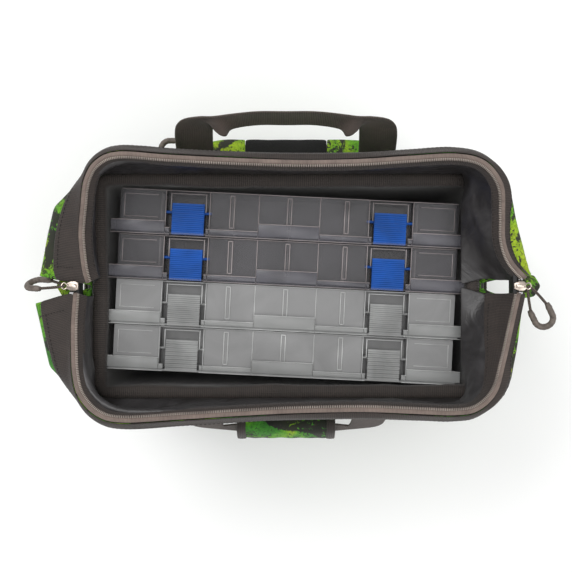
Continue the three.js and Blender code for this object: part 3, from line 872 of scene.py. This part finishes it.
def make_zip(name, side):
    """The zip's tape and row of teeth, and the padded sleeve with the wire below it."""
    centre = mouth_offset(side, 0, TAPE_Z + 0.6 * MM)
    lean = mouth_offset(side, 2 * MM, TAPE_Z) - mouth_offset(side, 0, TAPE_Z)
    tape = strap(f"{name}_zip_tape_cloth", centre, lean, 4.4 * MM, 1.2 * MM, 0.3 * MM)
    place(tape, "zip", f"{name}_mouth", [f"{name}_zip_tape"])
    make_teeth(name, side)

    sleeve_line = [mouth_world(side, x, y, 0) for x, y in wire_line()]
    pucker = np.array([1 + 0.04 * math.sin(i * 1.7) for i in range(len(sleeve_line))])
    sleeve = tube(f"{name}_sleeve_cloth", sleeve_line, 3.8 * MM * pucker)
    place(sleeve, "lining", f"{name}_mouth", [f"{name}_frame_sleeve"])


def make_mouth(name, side):
    """One half of the mouth: side is 1 for the rear and -1 for the front."""
    outer, inner = outer_surface(side), inner_surface(side)
    make_cloth(name, side, outer, inner)
    make_edges(name, side, outer, inner)
    make_zip(name, side)


def make_teeth(name, side, pitch=1.7 * MM):
    """One tooth every pitch along the mouth side of the tape."""
    edge = mouth_offset(side, -3.2 * MM, TAPE_Z + 1.1 * MM)
    inner = mouth_offset(side, -5.2 * MM, TAPE_Z + 1.1 * MM)
    lengths = arc(edge)
    vertices, faces = [], []
    for s in np.arange(pitch, lengths[-1] - pitch, pitch):
        at, ahead = at_distance(edge, [s, s + 0.5 * MM], lengths)
        x, y = unit(ahead - at), unit(at_distance(inner, s, lengths) - at)
        z = unit(np.cross(x, y))
        faces += [tuple(len(vertices) + i for i in f) for f in BLOCK_FACES]
        for h in (-1.0, 1.0):
            for a, b, taper in ((-0.5, -1.2, 1), (0.5, -1.2, 1), (0.36, 1.3, 0.7), (-0.36, 1.3, 0.7)):
                vertices.append(at + (x * a + y * b + z * h * 0.9 * taper) * MM)
    place(mesh_object(f"{name}_zip_teeth", vertices, faces), "teeth", f"{name}_mouth")


for half_name, half_side in (("front", -1), ("rear", 1)):
    make_mouth(half_name, half_side)

# ---- Body of the bag ----


WALL_FOOT = 40 * MM  # where the soft walls rise out of the base


def outline(hx, hy, r, straight=26, corner=9):
    """A rounded rectangle as points, anticlockwise from the middle of its right side."""
    points = []
    for i, (sx, sy) in enumerate(((1, 1), (-1, 1), (-1, -1), (1, -1))):
        for a in np.radians(np.linspace(90 * i, 90 * i + 90, corner)):
            points.append(np.array([sx * (hx - r) + r * math.cos(a), sy * (hy - r) + r * math.sin(a)]))
    dense = []
    for a, b in zip(points, points[1:] + points[:1]):
        count = max(1, int(round(math.dist(a, b) / (2 * hx / straight))))
        dense += [a + (b - a) * t / count for t in range(count)]
    return np.array(dense)


def outward(ring, i):
    """The way out of a closed anticlockwise outline at its point i."""
    along = unit(ring[(i + 1) % len(ring)] - ring[i - 1])
    return np.array([along[1], -along[0], 0.0])


def wall_share(z):
    """How far up the soft wall a height is, 0 to 1."""
    return np.clip((z - WALL_FOOT) / (SHELL_HIGH.z - WALL_FOOT), 0, 1)


def wall_rings(grow, radius, levels, bulge, crease, seed):
    """Rings of a soft wall: an outline at each height, fuller at mid height, with slack creases."""
    rings = []
    for z in levels:
        share = wall_share(z)
        swell = bulge * math.sin(math.pi * share)
        ring = []
        for x, y in outline(SHELL_HIGH.x + grow, SHELL_HIGH.y + grow, radius):
            near = (abs(x) / SHELL_HIGH.x, abs(y) / SHELL_HIGH.y)
            wall = int(near[1] > near[0])  # 0 in an end wall, 1 in a long one
            flat = 1 - min(near[1 - wall], 1) ** 4
            rough = noise.noise(Vector((x * 9 + seed, y * 9, z * 16)))
            rough += 0.6 * noise.noise(Vector((x * 26, y * 26 + seed, z * 34)))
            point = [x, y, z]
            point[wall] += np.sign(point[wall]) * (swell * flat + crease * share * rough)
            ring.append(point)
        rings.append(ring)
    return rings


def make_body():
    levels = np.linspace(8 * MM, SHELL_HIGH.z, 24)
    outer = wall_rings(0, 16 * MM, levels, 4 * MM, 2.4 * MM, 1.0)
    shell = grid("outer_cloth", outer, close_across=True)
    place(shell, "camo", "bag", ["outer_shell"])
    thicken(shell, 2.4 * MM, -1)

    for sx, sy in ((1, 1), (-1, 1), (-1, -1), (1, -1)):  # piping down the four corner seams
        line = [max(ring, key=lambda p: sx * p[0] + sy * p[1]) for ring in outer[4:-1]]
        tag = f"{'rear' if sy > 0 else 'front'}_{'right' if sx > 0 else 'left'}"
        piping = tube(f"{tag}_corner_piping", np.array(line) + np.array([sx, sy, 0]) * 0.4 * MM, 2.0 * MM, 10)
        place(piping, "binding", "bag")

    room = ROOM_X - SHELL_HIGH.x
    down = np.linspace(SHELL_HIGH.z, 9 * MM, 20)
    foam = wall_rings(room + 1.5 * MM, 9 * MM, down, 0, 0.9 * MM, 4.0)
    padding = grid("wall_padding", foam, close_across=True)
    place(padding, "felt", "bag", [f"{w}_foam_panel" for w in ("front", "rear", "left", "right")])
    thicken(padding, 6.5 * MM, 1)


def make_rim():
    """Webbing folded over the walls' top edge."""
    middle = (ROOM_X - SHELL_HIGH.x) / 2
    base = outline(SHELL_HIGH.x + middle, SHELL_HIGH.y + middle, 12 * MM, 60)
    half = -middle
    inner = half + 2.2 * MM
    profile = [(half - 1.2 * MM, -8 * MM), (half - 1.0 * MM, -4 * MM), (half - 0.8 * MM, 0.5 * MM)]
    profile += [(half * 0.5, 2.4 * MM), (0, 3 * MM), (-inner * 0.5, 2.8 * MM), (-inner + 0.6 * MM, 1.2 * MM)]
    profile += [(-inner, -4 * MM), (-half - 1.2 * MM, -16 * MM)]
    rows = []
    for i, (x, y) in enumerate(base):
        out = outward(base, i)
        sway = ripple((x, y, 0), 13, 2.6 * MM, 2.0) + ripple((x, y, 0), 45, 1.2 * MM, 6.0)
        lift = ripple((x, y, 0), 18, 1.6 * MM, 8.0)
        row = []
        for d, h in profile:  # only the inside edge wanders: the outside is sewn to the wall
            d += sway if d < 0 else 0
            h += lift if d < half * 0.6 else 0
            row.append(np.array([x, y, SHELL_HIGH.z + 2.5 * MM + h]) + out * d)
        rows.append(row)
    rim = grid("rim_webbing", rows, close_along=True)
    place(rim, "binding", "bag", ["rim_binding"])
    thicken(rim, 1.4 * MM, 0)


def make_base_lip():
    """The base's rolled top edge."""
    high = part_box("moulded_base")[1]
    base = outline(high.x - 0.6 * MM, high.y - 0.6 * MM, 18 * MM, 30)
    middles = [np.array([x, y, high.z - 2 * MM]) for x, y in base]
    rows = [circle(at, outward(base, i), UP, 1.8 * MM, 10) for i, at in enumerate(middles)]
    lip = grid("base_rolled_lip", rows, close_along=True, close_across=True)
    place(lip, "moulded", "bag")


make_body()
make_rim()
make_base_lip()

# ---- Pockets ----

WALL_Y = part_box("rear_pocket")[0].y
WALL_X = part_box("right_pocket")[0].x
POCKET_TURN = {"front": 180, "rear": 0, "left": 90, "right": -90}  # degrees from the +Y wall


def pocket_path(half, deep, radius=11 * MM, count=9):
    """A pouch seen from above: out from the wall, round its corners and back, drawn for the +Y wall."""
    left = [(-half, 0.0), (-half, deep * 0.5)]
    for a in np.linspace(0.15, math.pi / 2, count):
        left.append((-half + radius - radius * math.cos(a), deep - radius + radius * math.sin(a)))
    flat = [(x, deep) for x in np.linspace(-half + radius, half - radius, 17)[1:-1]]
    right = [(-x, y) for x, y in reversed(left)]
    return np.array(left + flat + right)


def pocket_point(name, x, y, z):
    """From a pouch's own frame, with its wall at y 0, to the row frame."""
    a = math.radians(POCKET_TURN[name])
    y += WALL_Y if name in ("front", "rear") else WALL_X
    return (x * math.cos(a) - y * math.sin(a), x * math.sin(a) + y * math.cos(a), z)


def make_pocket(name, half, deep, low, high):
    """A soft pouch: a rounded cloth front that swells, a bound top edge, and piping round its seams."""
    rows = []
    for z in np.linspace(low, high - 1 * MM, 16):
        v = (z - low) / (high - low)
        full = math.sqrt(np.clip(v / 0.12, 0.04, 1)) * (1 + 0.05 * math.sin(math.pi * v))
        row = []
        for x, y in pocket_path(half, deep - 1.5 * MM):
            depth = y * full * (1 - 0.08 * v * math.cos(x / half * 1.4))
            depth += ripple((x, z, len(name)), 20, 1.4 * MM, 1.0) * (y > deep * 0.6)
            row.append(pocket_point(name, x, max(depth, 0.2 * MM), z))
        rows.append(row)
    pouch = grid(f"{name}_pouch_cloth", rows)
    place(pouch, "camo_pocket", "bag", [f"{name}_pocket"])
    thicken(pouch, 1.6 * MM, 0)

    xs, zs = np.linspace(-half, half, 9), np.linspace(low, high, 9)
    panel = grid(f"{name}_pouch_back", [[pocket_point(name, x, 1.0 * MM, z) for x in xs] for z in zs])
    place(panel, "lining", "bag")
    thicken(panel, 1.0 * MM, 0, 0)

    top = np.array(rows[-1])
    hem = strap(f"{name}_pouch_hem", top - UP * 4 * MM, [UP] * len(top), 11 * MM, 2.8 * MM, 0.2 * MM)
    place(hem, "binding", "bag")
    facing = unit(np.array(pocket_point(name, 0, 1, 0)))
    stitches(f"{name}_pouch_hem_stitches", top[6:-6] + facing * 1.5 * MM - UP * 8 * MM, facing, "bag")

    sides = {"left": [row[2] for row in rows], "right": [row[-3] for row in rows], "foot": rows[1]}
    for tag, line in sides.items():
        piping = tube(f"{name}_pouch_{tag}_piping", line, 1.6 * MM, 8)
        place(piping, "binding", "bag")


def make_pockets():
    for name in POCKET_TURN:
        low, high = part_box(f"{name}_pocket")
        size = high - low
        half, deep = (size.x / 2, size.y) if name in ("front", "rear") else (size.y / 2, size.x)
        make_pocket(name, half, deep, low.z, high.z)


def make_flap(section):
    """The puffy storm flap over the rear pocket's zip, in three panels: loop pile between camouflage ends."""
    cuts = [-80 * MM, -43 * MM, 43 * MM, 86 * MM]
    for i, (a, b) in enumerate(zip(cuts, cuts[1:])):
        rows = []
        for x in np.linspace(a, b, 14):
            round_end = 3 * MM * (abs((x - cuts[0]) / (cuts[-1] - cuts[0]) - 0.5) * 2) ** 12
            puff = 1.6 * MM * math.sin(math.pi * (x - a) / (b - a)) ** 0.5
            row = []
            for t, p in zip(np.linspace(0, 1, 12), resample([(x, y - round_end, z) for y, z in section], 12)):
                lift = puff * math.sin(math.pi * t) + ripple(p, 45, 1.3 * MM, 2.0)
                row.append(p + np.array([0, ripple(p, 38, 1.6 * MM, 7.0) * t, max(lift, 0) * min(1, 3 * t)]))
            rows.append(row)
        panel = grid(f"rear_pocket_flap_{i + 1}", rows)
        place(panel, "pile" if i == 1 else "camo_pocket", "bag")
        thicken(panel, 1.2 * MM, 1)


def make_rear_pocket_top():
    """The rear pocket's cover, the flap over it, and the zip along its outer edge."""
    low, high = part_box("rear_pocket_cover")
    ys = np.linspace(low.y, high.y, 7)
    rows = []
    for x in np.linspace(low.x, high.x, 30):
        rows.append([(x, y, high.z - 1.5 * MM + ripple((x, y, 0), 30, 1.0 * MM)) for y in ys])
    cover = grid("rear_pocket_cover_cloth", rows)
    place(cover, "camo", "bag", ["rear_pocket_cover"])
    thicken(cover, 1.6 * MM, 0)

    zip_low, zip_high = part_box("rear_pocket_zip")
    section = [(low.y, high.z + 0.5 * MM), (low.y + 5 * MM, 208 * MM), (low.y + 13 * MM, 213.5 * MM)]
    section += [(zip_low.y + 7 * MM, 213.5 * MM), (zip_high.y + 1 * MM, 212.4 * MM)]
    make_flap([*section, (zip_high.y + 4 * MM, 210.6 * MM)])

    middle, z = (zip_low.y + zip_high.y) / 2, zip_high.z
    for tag, y in (("inner", middle - 3.2 * MM), ("outer", middle + 3.2 * MM)):
        xs = np.linspace(zip_low.x, zip_high.x, 30)
        line = [(x, y, z + ripple((x, y, 0), 30, 0.6 * MM)) for x in xs]
        tape = strap(f"rear_pocket_tape_{tag}", line, [(0, 1, 0)] * 30, 4.8 * MM, 1.0 * MM)
        place(tape, "zip", "bag", ["rear_pocket_zip"] if tag == "inner" else ())
    pitch = 2.4 * MM
    boxes = []
    for i, x in enumerate(np.arange(zip_low.x + pitch, zip_high.x - pitch, pitch)):
        y = middle + 0.5 * MM * (-1) ** i
        boxes.append(span(about(x, 0.8 * MM), about(y, 1.5 * MM), (z - 0.7 * MM, z + 0.8 * MM)))
    teeth = blocks("rear_pocket_teeth", boxes)
    place(teeth, "teeth", "bag")
    bevel(teeth, 0.3 * MM, 1)


make_pockets()
make_rear_pocket_top()

# ---- Sliders, tabs and hinges ----


def make_slider(name, body):
    """A zip slider: two plates joined at one end, a bridge on top and the eye that the cord runs through."""
    low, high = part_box(f"{name}_slider")
    cx, cy = (low.x + high.x) / 2, (low.y + high.y) / 2
    hx, hy = (high.x - low.x) / 2, (high.y - low.y) / 2
    plate = [(-hx, -hy * 0.62), (-hx * 0.2, -hy), (hx * 0.6, -hy), (hx, -hy * 0.7)]
    plate += [(x, -y) for x, y in reversed(plate)]

    def level(share):
        return low.z + (high.z - low.z) * share

    parts = []
    for shares in ((0.0, 0.26), (0.52, 0.78)):
        ring = [[(cx + x, cy + y, level(share)) for x, y in plate] for share in shares]
        parts.append(grid("plate", ring, close_across=True, caps=True))
    parts.append(blocks("neck", [span(about(cx, hx * 0.3), about(cy, hy * 0.3), (level(0.2), level(0.55)))]))
    arch = [(-0.8, level(0.74)), (-0.55, high.z), (0.55, high.z), (0.8, level(0.74))]
    line = smooth_line([(cx + hx * x, cy, z) for x, z in arch], 1 * MM)
    parts.append(strap("bridge", line, [(0, 1, 0)] * len(line), hy * 0.8, 1.1 * MM))
    slider = join(f"{name}_slider_body", parts)
    place(slider, "nickel", body, [f"{name}_slider"])
    bevel(slider, 0.5 * MM)

    eye = Vector(JOINTS[f"{name}_pull"]["pos_m"])
    toward = -1 if eye.x < cx else 1
    root = cx + toward * (hx - 2 * MM)
    loop = [(root, cy, eye.z - 1.2 * MM), (eye.x, cy - 3.2 * MM, eye.z)]
    loop += [(eye.x + toward * 2.6 * MM, cy, eye.z + 0.6 * MM)]
    loop += [(eye.x, cy + 3.2 * MM, eye.z), (root, cy, eye.z + 1.2 * MM)]
    place(tube(f"{name}_slider_eye", smooth_line(loop, 1 * MM), 0.7 * MM, 8), "nickel", body)


make_slider("left", "left_slider")
make_slider("right", "right_slider")
make_slider("rear", "rear_pocket_slider")


def make_end_tab(name, toward):
    """A folded camouflage tab over the zip's end, with a blunt point."""
    low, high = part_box(f"{name}_zip_end_tab")
    cx = (low.x + high.x) / 2
    half = (high.x - low.x) / 2
    rows = []
    for t in np.linspace(-1, 1, 11):
        x = cx + toward * t * half
        w = 12 * MM * (0.72 + 0.28 * math.cos(t * 1.1))
        z = high.z + (4 - 3 * t) * MM
        across = np.linspace(-1, 1, 9)
        rows.append([(x - toward * abs(s) * 6 * MM, s * w, z + 1.5 * MM * (1 - s * s)) for s in across])
    tab = grid(f"{name}_end_tab_cloth", rows)
    place(tab, "camo", "bag", [f"{name}_zip_end_tab"])
    thicken(tab, 2.4 * MM, 0)


make_end_tab("left", -1)
make_end_tab("right", 1)


def make_ring(name, toward):
    """A wire D-ring in a folded webbing tab."""
    low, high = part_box(f"{name}_d_ring")
    at = Vector(JOINTS[f"{name}_d_ring"]["pos_m"])
    wire = 2 * MM
    half, drop = (high.y - low.y) / 2 - wire, at.z - low.z - wire
    bow = [(at.x, -half * math.cos(a), at.z - drop * math.sin(a) ** 0.8) for a in np.linspace(0, math.pi, 25)]
    bar = [(at.x, y, at.z) for y in np.linspace(half, -half, 9)]
    line = np.array(bow + bar[1:-1])
    out = np.array([1.0, 0, 0])
    rows = []
    for i, centre in enumerate(line):
        along = unit(line[(i + 1) % len(line)] - line[i - 1])
        rows.append(circle(centre, out, np.cross(along, out), wire, 12))
    ring = grid(f"{name}_wire_d_ring", rows, close_along=True, close_across=True)
    place(ring, "nickel", f"{name}_d_ring", [f"{name}_d_ring"])

    tab_low, tab_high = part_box(f"{name}_ring_tab")
    face = tab_low.x if toward > 0 else tab_high.x
    loop = [(face + toward * 1.2 * MM, 0, z) for z in np.linspace(tab_high.z, at.z + 6 * MM, 6)]
    for a in np.linspace(0.2, math.pi * 1.5, 12):
        loop.append((at.x + 3.6 * MM * toward * math.sin(a), 0, at.z + 3.6 * MM * math.cos(a)))
    line = smooth_line([*loop, (face + toward * 1.0 * MM, 0, at.z - 6 * MM)], 2 * MM)
    tab = strap(f"{name}_ring_webbing", line, [(0, 1, 0)] * len(line), 24 * MM, 1.4 * MM)
    place(tab, "webbing", "bag", [f"{name}_ring_tab"])


make_ring("left", -1)
make_ring("right", 1)

# ---- Handles ----


def handle_frame(name):
    """Origin, up and normal of a handle's plane at rest. The CAD arch is flat, so its box gives the tilt."""
    at = Vector(JOINTS[f"{name}_handle"]["pos_m"])
    tilt = math.radians({"rear": 30, "front": 152}[name])
    side = 1 if name == "rear" else -1
    up = np.array([0, side * math.sin(tilt), math.cos(tilt)])
    normal = np.array([0, side * math.cos(tilt), -math.sin(tilt)])
    return np.array(at), up, normal


# Half of a handle's outer edge, middle and inner edge, in millimetres: x, way up its plane, way off it.
LOOP = {
    "outer": [(111, 0, 0), (111, 40, 0), (110, 66, 0), (107, 79, 1), (99, 87, 1)]
    + [(86, 91, -1), (70, 95, -3), (54, 100, -4), (28, 104, -4), (0, 104, -4)],
    "middle": [(92, 0, 0), (92, 40, 1), (91, 64, 2), (89, 76, 3), (84, 84, 2)]
    + [(76, 88, 0), (66, 90, -4), (53, 90, -2), (28, 91, 0), (0, 91, 0)],
    "inner": [(73, 0, 0), (73, 40, 0), (72, 64, 1), (71, 76, 0), (69, 83, -4)]
    + [(66, 82, -13), (58, 79, -14), (52, 78, -4), (28, 77, 2), (0, 77, 2)],
}


def make_handle(name):
    """Webbing that rises face-on from its sewn ends and folds over into a hand loop."""
    at, up, normal = handle_frame(name)
    edges = []
    for half in LOOP.values():
        whole = [(-x, w, n) for x, w, n in half] + half[-2::-1]
        if name == "front":  # hangs straight, with the padded wrap to hold it flat
            whole = [(x, w, 0) for x, w, n in whole]
        points = [at + (np.array([x, 0, 0]) + up * w + normal * n) * MM for x, w, n in whole]
        edges.append(catmull_at(points, np.linspace(0, len(points) - 1, 97)))
    rows = []
    for o, m, i in zip(*edges):
        ts = np.linspace(0, 1, 9)
        rows.append([o * (1 - t) * (1 - 2 * t) + m * 4 * t * (1 - t) + i * t * (2 * t - 1) for t in ts])
    handle = grid(f"{name}_handle_webbing", rows)
    place(handle, "strap", f"{name}_handle", [f"{name}_handle"])
    thicken(handle, 2.2 * MM, 0)


make_handle("rear")
make_handle("front")


def make_patches():
    """Stitched webbing runs below the handles' sewn ends, down to the base."""
    for name, side in (("front", -1), ("rear", 1)):
        for tag, x in (("left", -92 * MM), ("right", 92 * MM)):
            line = []
            for z in np.linspace(0.225, 0.045, 20):
                swell = 3.3 * MM * math.sin(math.pi * wall_share(z))
                line.append(np.array([x, side * (SHELL_HIGH.y + 2.6 * MM + swell), z]))
            run = strap(f"{name}_{tag}_handle_run", line, [(1, 0, 0)] * 20, 38 * MM, 1.8 * MM)
            place(run, "strap", "bag")
            for letter, edge in (("a", -16 * MM), ("b", 16 * MM)):
                seam = [p + np.array([edge, side * 1.3 * MM, 0]) for p in line]
                stitches(f"{name}_{tag}_run_stitch_{letter}", seam, (0, side, 0), "bag")


make_patches()


WRAP_DROP = 89 * MM  # from the handle's joint to the middle of the wrap


def wrap_section(x, wide, thick, fullness):
    """A rounded section of the front handle's wrap at x; fullness is a function of the angle round it."""
    at, up, normal = handle_frame("front")
    ring = []
    for a in turns(32):
        c, s = math.cos(a), math.sin(a)
        w = wide * np.sign(c) * abs(c) ** 0.75 * fullness(a)
        n = thick * np.sign(s) * abs(s) ** 0.8 * fullness(a)
        ring.append(at + np.array([x, 0, 0]) + up * (WRAP_DROP + w) + normal * n)
    return ring


def make_wrap():
    """The padded wrap on the front handle: a soft sleeve with bound ends and a closing seam."""
    low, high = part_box("handle_wrap")
    half = (high.x - low.x) / 2
    rows = []
    for t in np.linspace(-1, 1, 41):
        x = t * half
        full = 1 - 0.16 * abs(t) ** 6 + 0.02 * math.sin(t * 17)

        def fullness(a):
            seam = 1 - 0.13 * math.exp(-(((a - 2.2) / 0.12) ** 2))
            return full * seam * (1 + 0.05 * noise.noise(Vector((x * 60, math.cos(a) * 2, math.sin(a) * 2))))

        rows.append(wrap_section(x, 17.5 * MM, 10.5 * MM, fullness))
    wrap = grid("padded_wrap", rows, close_across=True, caps=True)
    place(wrap, "camo_wrap", "front_handle", ["handle_wrap"])
    for tag, hand in (("left", -1), ("right", 1)):
        rings = []
        for t in np.linspace(0, 1, 7):
            x = hand * (half + 0.8 * MM - t * 10 * MM)
            rings.append(wrap_section(x, 17.2 * MM, 10.3 * MM, lambda a: 1.0 + 0.05 * math.sin(math.pi * t)))
        band = grid(f"wrap_{tag}_binding", rings, close_across=True)
        place(band, "binding", "front_handle")
        thicken(band, 1.2 * MM, 0)


make_wrap()

# ---- Trays ----


def paint_node(node, paint, width=0.0, segments=2):
    """A CAD node that is shown as it is, with a finish and rounded edges."""
    obj = frame["nodes"][node]
    obj.data.materials.clear()
    obj.data.materials.append(PAINTS[paint])
    keep_rest(obj)
    if width:
        bevel(obj, width, segments)


# Sizes across a tray, in millimetres from its middle.
LID_WALL = 2
LIP_STEPS = (-127.5, -82, -31.5, 31.5, 82, 127.5)
LIP_DEPTHS = (13.5, 7, 7, 15, 7, 7, 13.5)
LID_LIPS = tuple(zip((-183, *LIP_STEPS), (*LIP_STEPS, 183), LIP_DEPTHS))
LATCH_X = 104
LATCH_GAPS = (about(-LATCH_X, 18.5), about(LATCH_X, 18.5))
DIVIDERS = (  # each row of compartments: its bottom and top above the base, and where its dividers stand
    (171.8, 222, (-132, -59, 0, 59, 132)),
    (116.8, 169.6, (-90, 0, 90)),
    (61.8, 114.6, (-118, 0, 118)),
)


def local_bounds(node, turn):
    """A CAD node's box in its tray's own turned frame, in millimetres."""
    inverse = turn.inverted()
    co = np.array([inverse @ v.co for v in frame["nodes"][node].data.vertices]) / MM
    return co.min(0), co.max(0)


def cut_gaps(spans):
    """Stretches of a lip with the latch gaps taken out."""
    out = []
    for a, b, deep in spans:
        pieces = [(a, b)]
        for g0, g1 in LATCH_GAPS:
            parts = [part for x0, x1 in pieces for part in ((x0, min(x1, g0)), (max(x0, g1), x1))]
            pieces = [(p, q) for p, q in parts if q - p > 0.5]
        out += [(p, q, deep) for p, q in pieces]
    return out


def lid_plate(low, high):
    """The lid's flat face and the two raised frames moulded round it."""
    top = high[2] - 0.2
    face = (low[1] - 0.35, low[1] + 0.4)
    boxes = [span((low[0], high[0]), (low[1], low[1] + LID_WALL), (low[2], top))]
    for inset, thick in ((9, 2.4), (15, 0.9)):
        x0, x1, z0, z1 = low[0] + inset, high[0] - inset, low[2] + inset, top - inset - 8
        boxes += [span((x0, x1), face, z) for z in ((z0, z0 + thick), (z1 - thick, z1))]
        boxes += [span(x, face, (z0 + thick, z1 - thick)) for x in ((x0, x0 + thick), (x1 - thick, x1))]
    return boxes


def stepped_lid(low, high, lips):
    """The lid's rim: a floor, two ends, and the stepped lip along its opening side."""
    behind = (low[1] + LID_WALL, high[1])
    ends = (low[2] + LID_WALL, high[2] - LID_WALL)
    boxes = [span((low[0], high[0]), behind, (low[2], low[2] + LID_WALL))]
    boxes += [span(x, behind, ends) for x in ((low[0], low[0] + LID_WALL), (high[0] - LID_WALL, high[0]))]
    for x0, x1, deep in lips:
        boxes.append(span((x0, x1), (low[1] + LID_WALL, low[1] + deep), (high[2] - LID_WALL, high[2])))
    return boxes


def ribs(low, high, base_low, base_high, lips):
    """Moulded lines: lip edges, divider slots, wall lines, and frames at the ends and the latches, in the
    paler edge plastic that is a painted highlight.
    """
    top, front, rear = base_high[2], low[1], base_high[1]
    boxes = []
    for x0, x1, deep in lips:
        edge = front + deep
        boxes.append(span((x0, x1), (edge - 0.5, edge + 0.35), (high[2] - 1.2, high[2] + 0.35)))
        boxes.append(span((x0, x1), (front - 0.2, front + 0.6), (high[2] - 1.4, high[2] + 0.3)))
    proud, faint = (top - 0.3, top + 1.0), (top - 0.3, top + 0.5)
    for x in (-59, 0, 59):
        boxes += [span(about(x + dx, 0.55), (front + 9, rear - 3), proud) for dx in (-2.1, 2.1)]
        boxes += [span(about(x, 2.6), (y, y + 1.1), proud) for y in (front + 9, rear - 4)]
    for x in LIP_STEPS:
        boxes.append(span(about(x, 0.45), (front + 1, rear - 0.4), (top - 0.3, top + 0.8)))
    boxes.append(span((base_low[0] + 1, base_high[0] - 1), (rear - 1.1, rear - 0.3), (top - 0.4, top + 0.5)))
    for sign in (-1, 1):
        boxes += [span(sorted((sign * 135, sign * 170)), (y, y + 0.7), faint) for y in (front + 17, rear - 6)]
        boxes.append(span(about(sign * 170, 0.4), (front + 17, rear - 5.3), faint))
        boxes += [span(about(sign * x, 0.5), (rear - 22, rear - 3), proud) for x in (86, 122)]
        boxes.append(span(about(sign * LATCH_X, 17), (rear - 4, rear - 3.2), (top - 0.3, top + 0.9)))
    return boxes


def make_tray(index, name):
    """Finishes on a tray's CAD pieces, its moulded lid with a stepped lip, and its ribs and dividers."""
    glass, latch = ("clear", "blue") if index < 2 else ("frosted", "frosted_latch")
    paint_node(f"{name}_base", glass, 0.7 * MM)
    for hand in ("left", "right"):
        paint_node(f"{name}_{hand}_latch", latch, 0.35 * MM)
    left, right = (Vector(JOINTS[f"{name}_{hand}_latch"]["pos_m"]) for hand in ("left", "right"))
    centre = (left + right) / 2
    turn = Matrix.Translation(Vector((centre.x, centre.y, 0))) @ Matrix.Rotation(TRAY_TURN, 4, "Z")
    low, high = local_bounds(f"{name}_lid", turn)
    base_low, base_high = local_bounds(f"{name}_base", turn)
    lips = cut_gaps(LID_LIPS)
    cross = []
    for row_low, row_high, places in DIVIDERS:
        z = (row_low + base_low[2], row_high + base_low[2] - 0.4)
        cross += [span(about(x, 0.7), (-19, base_high[1] - 3), z) for x in places]
    pieces = [
        ("lid_plate", lid_plate(low, high), "plate", 0.25, 2, [f"{name}_lid"]),
        ("stepped_lid", stepped_lid(low, high, lips), "lid", 0.8, 2, ()),
        # the ribs and dividers take the paler edge plastic, a painted highlight along the moulding
        ("ribs", ribs(low, high, base_low, base_high, lips), "edge", 0.3, 1, ()),
        ("dividers", cross, "edge", 0.3, 1, ()),
    ]
    for tag, boxes, finish, width, segments, stands_for in pieces:
        piece = blocks(f"{name}_{tag}", boxes)
        piece.data.transform(turn @ Matrix.Scale(MM, 4))
        place(piece, f"{glass}_{finish}", name, stands_for)
        bevel(piece, width * MM, segments)


for tray_index in range(4):
    make_tray(tray_index, f"tray_{tray_index + 1}")

# ---- The rest of the CAD nodes ----

paint_node("moulded_base", "moulded", 2.0 * MM, 3)
paint_node("bottom_board", "felt", 1.0 * MM)
for end in ("left", "right"):
    paint_node(f"{end}_hinge_plate", "moulded", 0.6 * MM)
for half_name in ("front", "rear"):
    paint_node(f"{half_name}_wire_frame", "steel", 0.3 * MM)
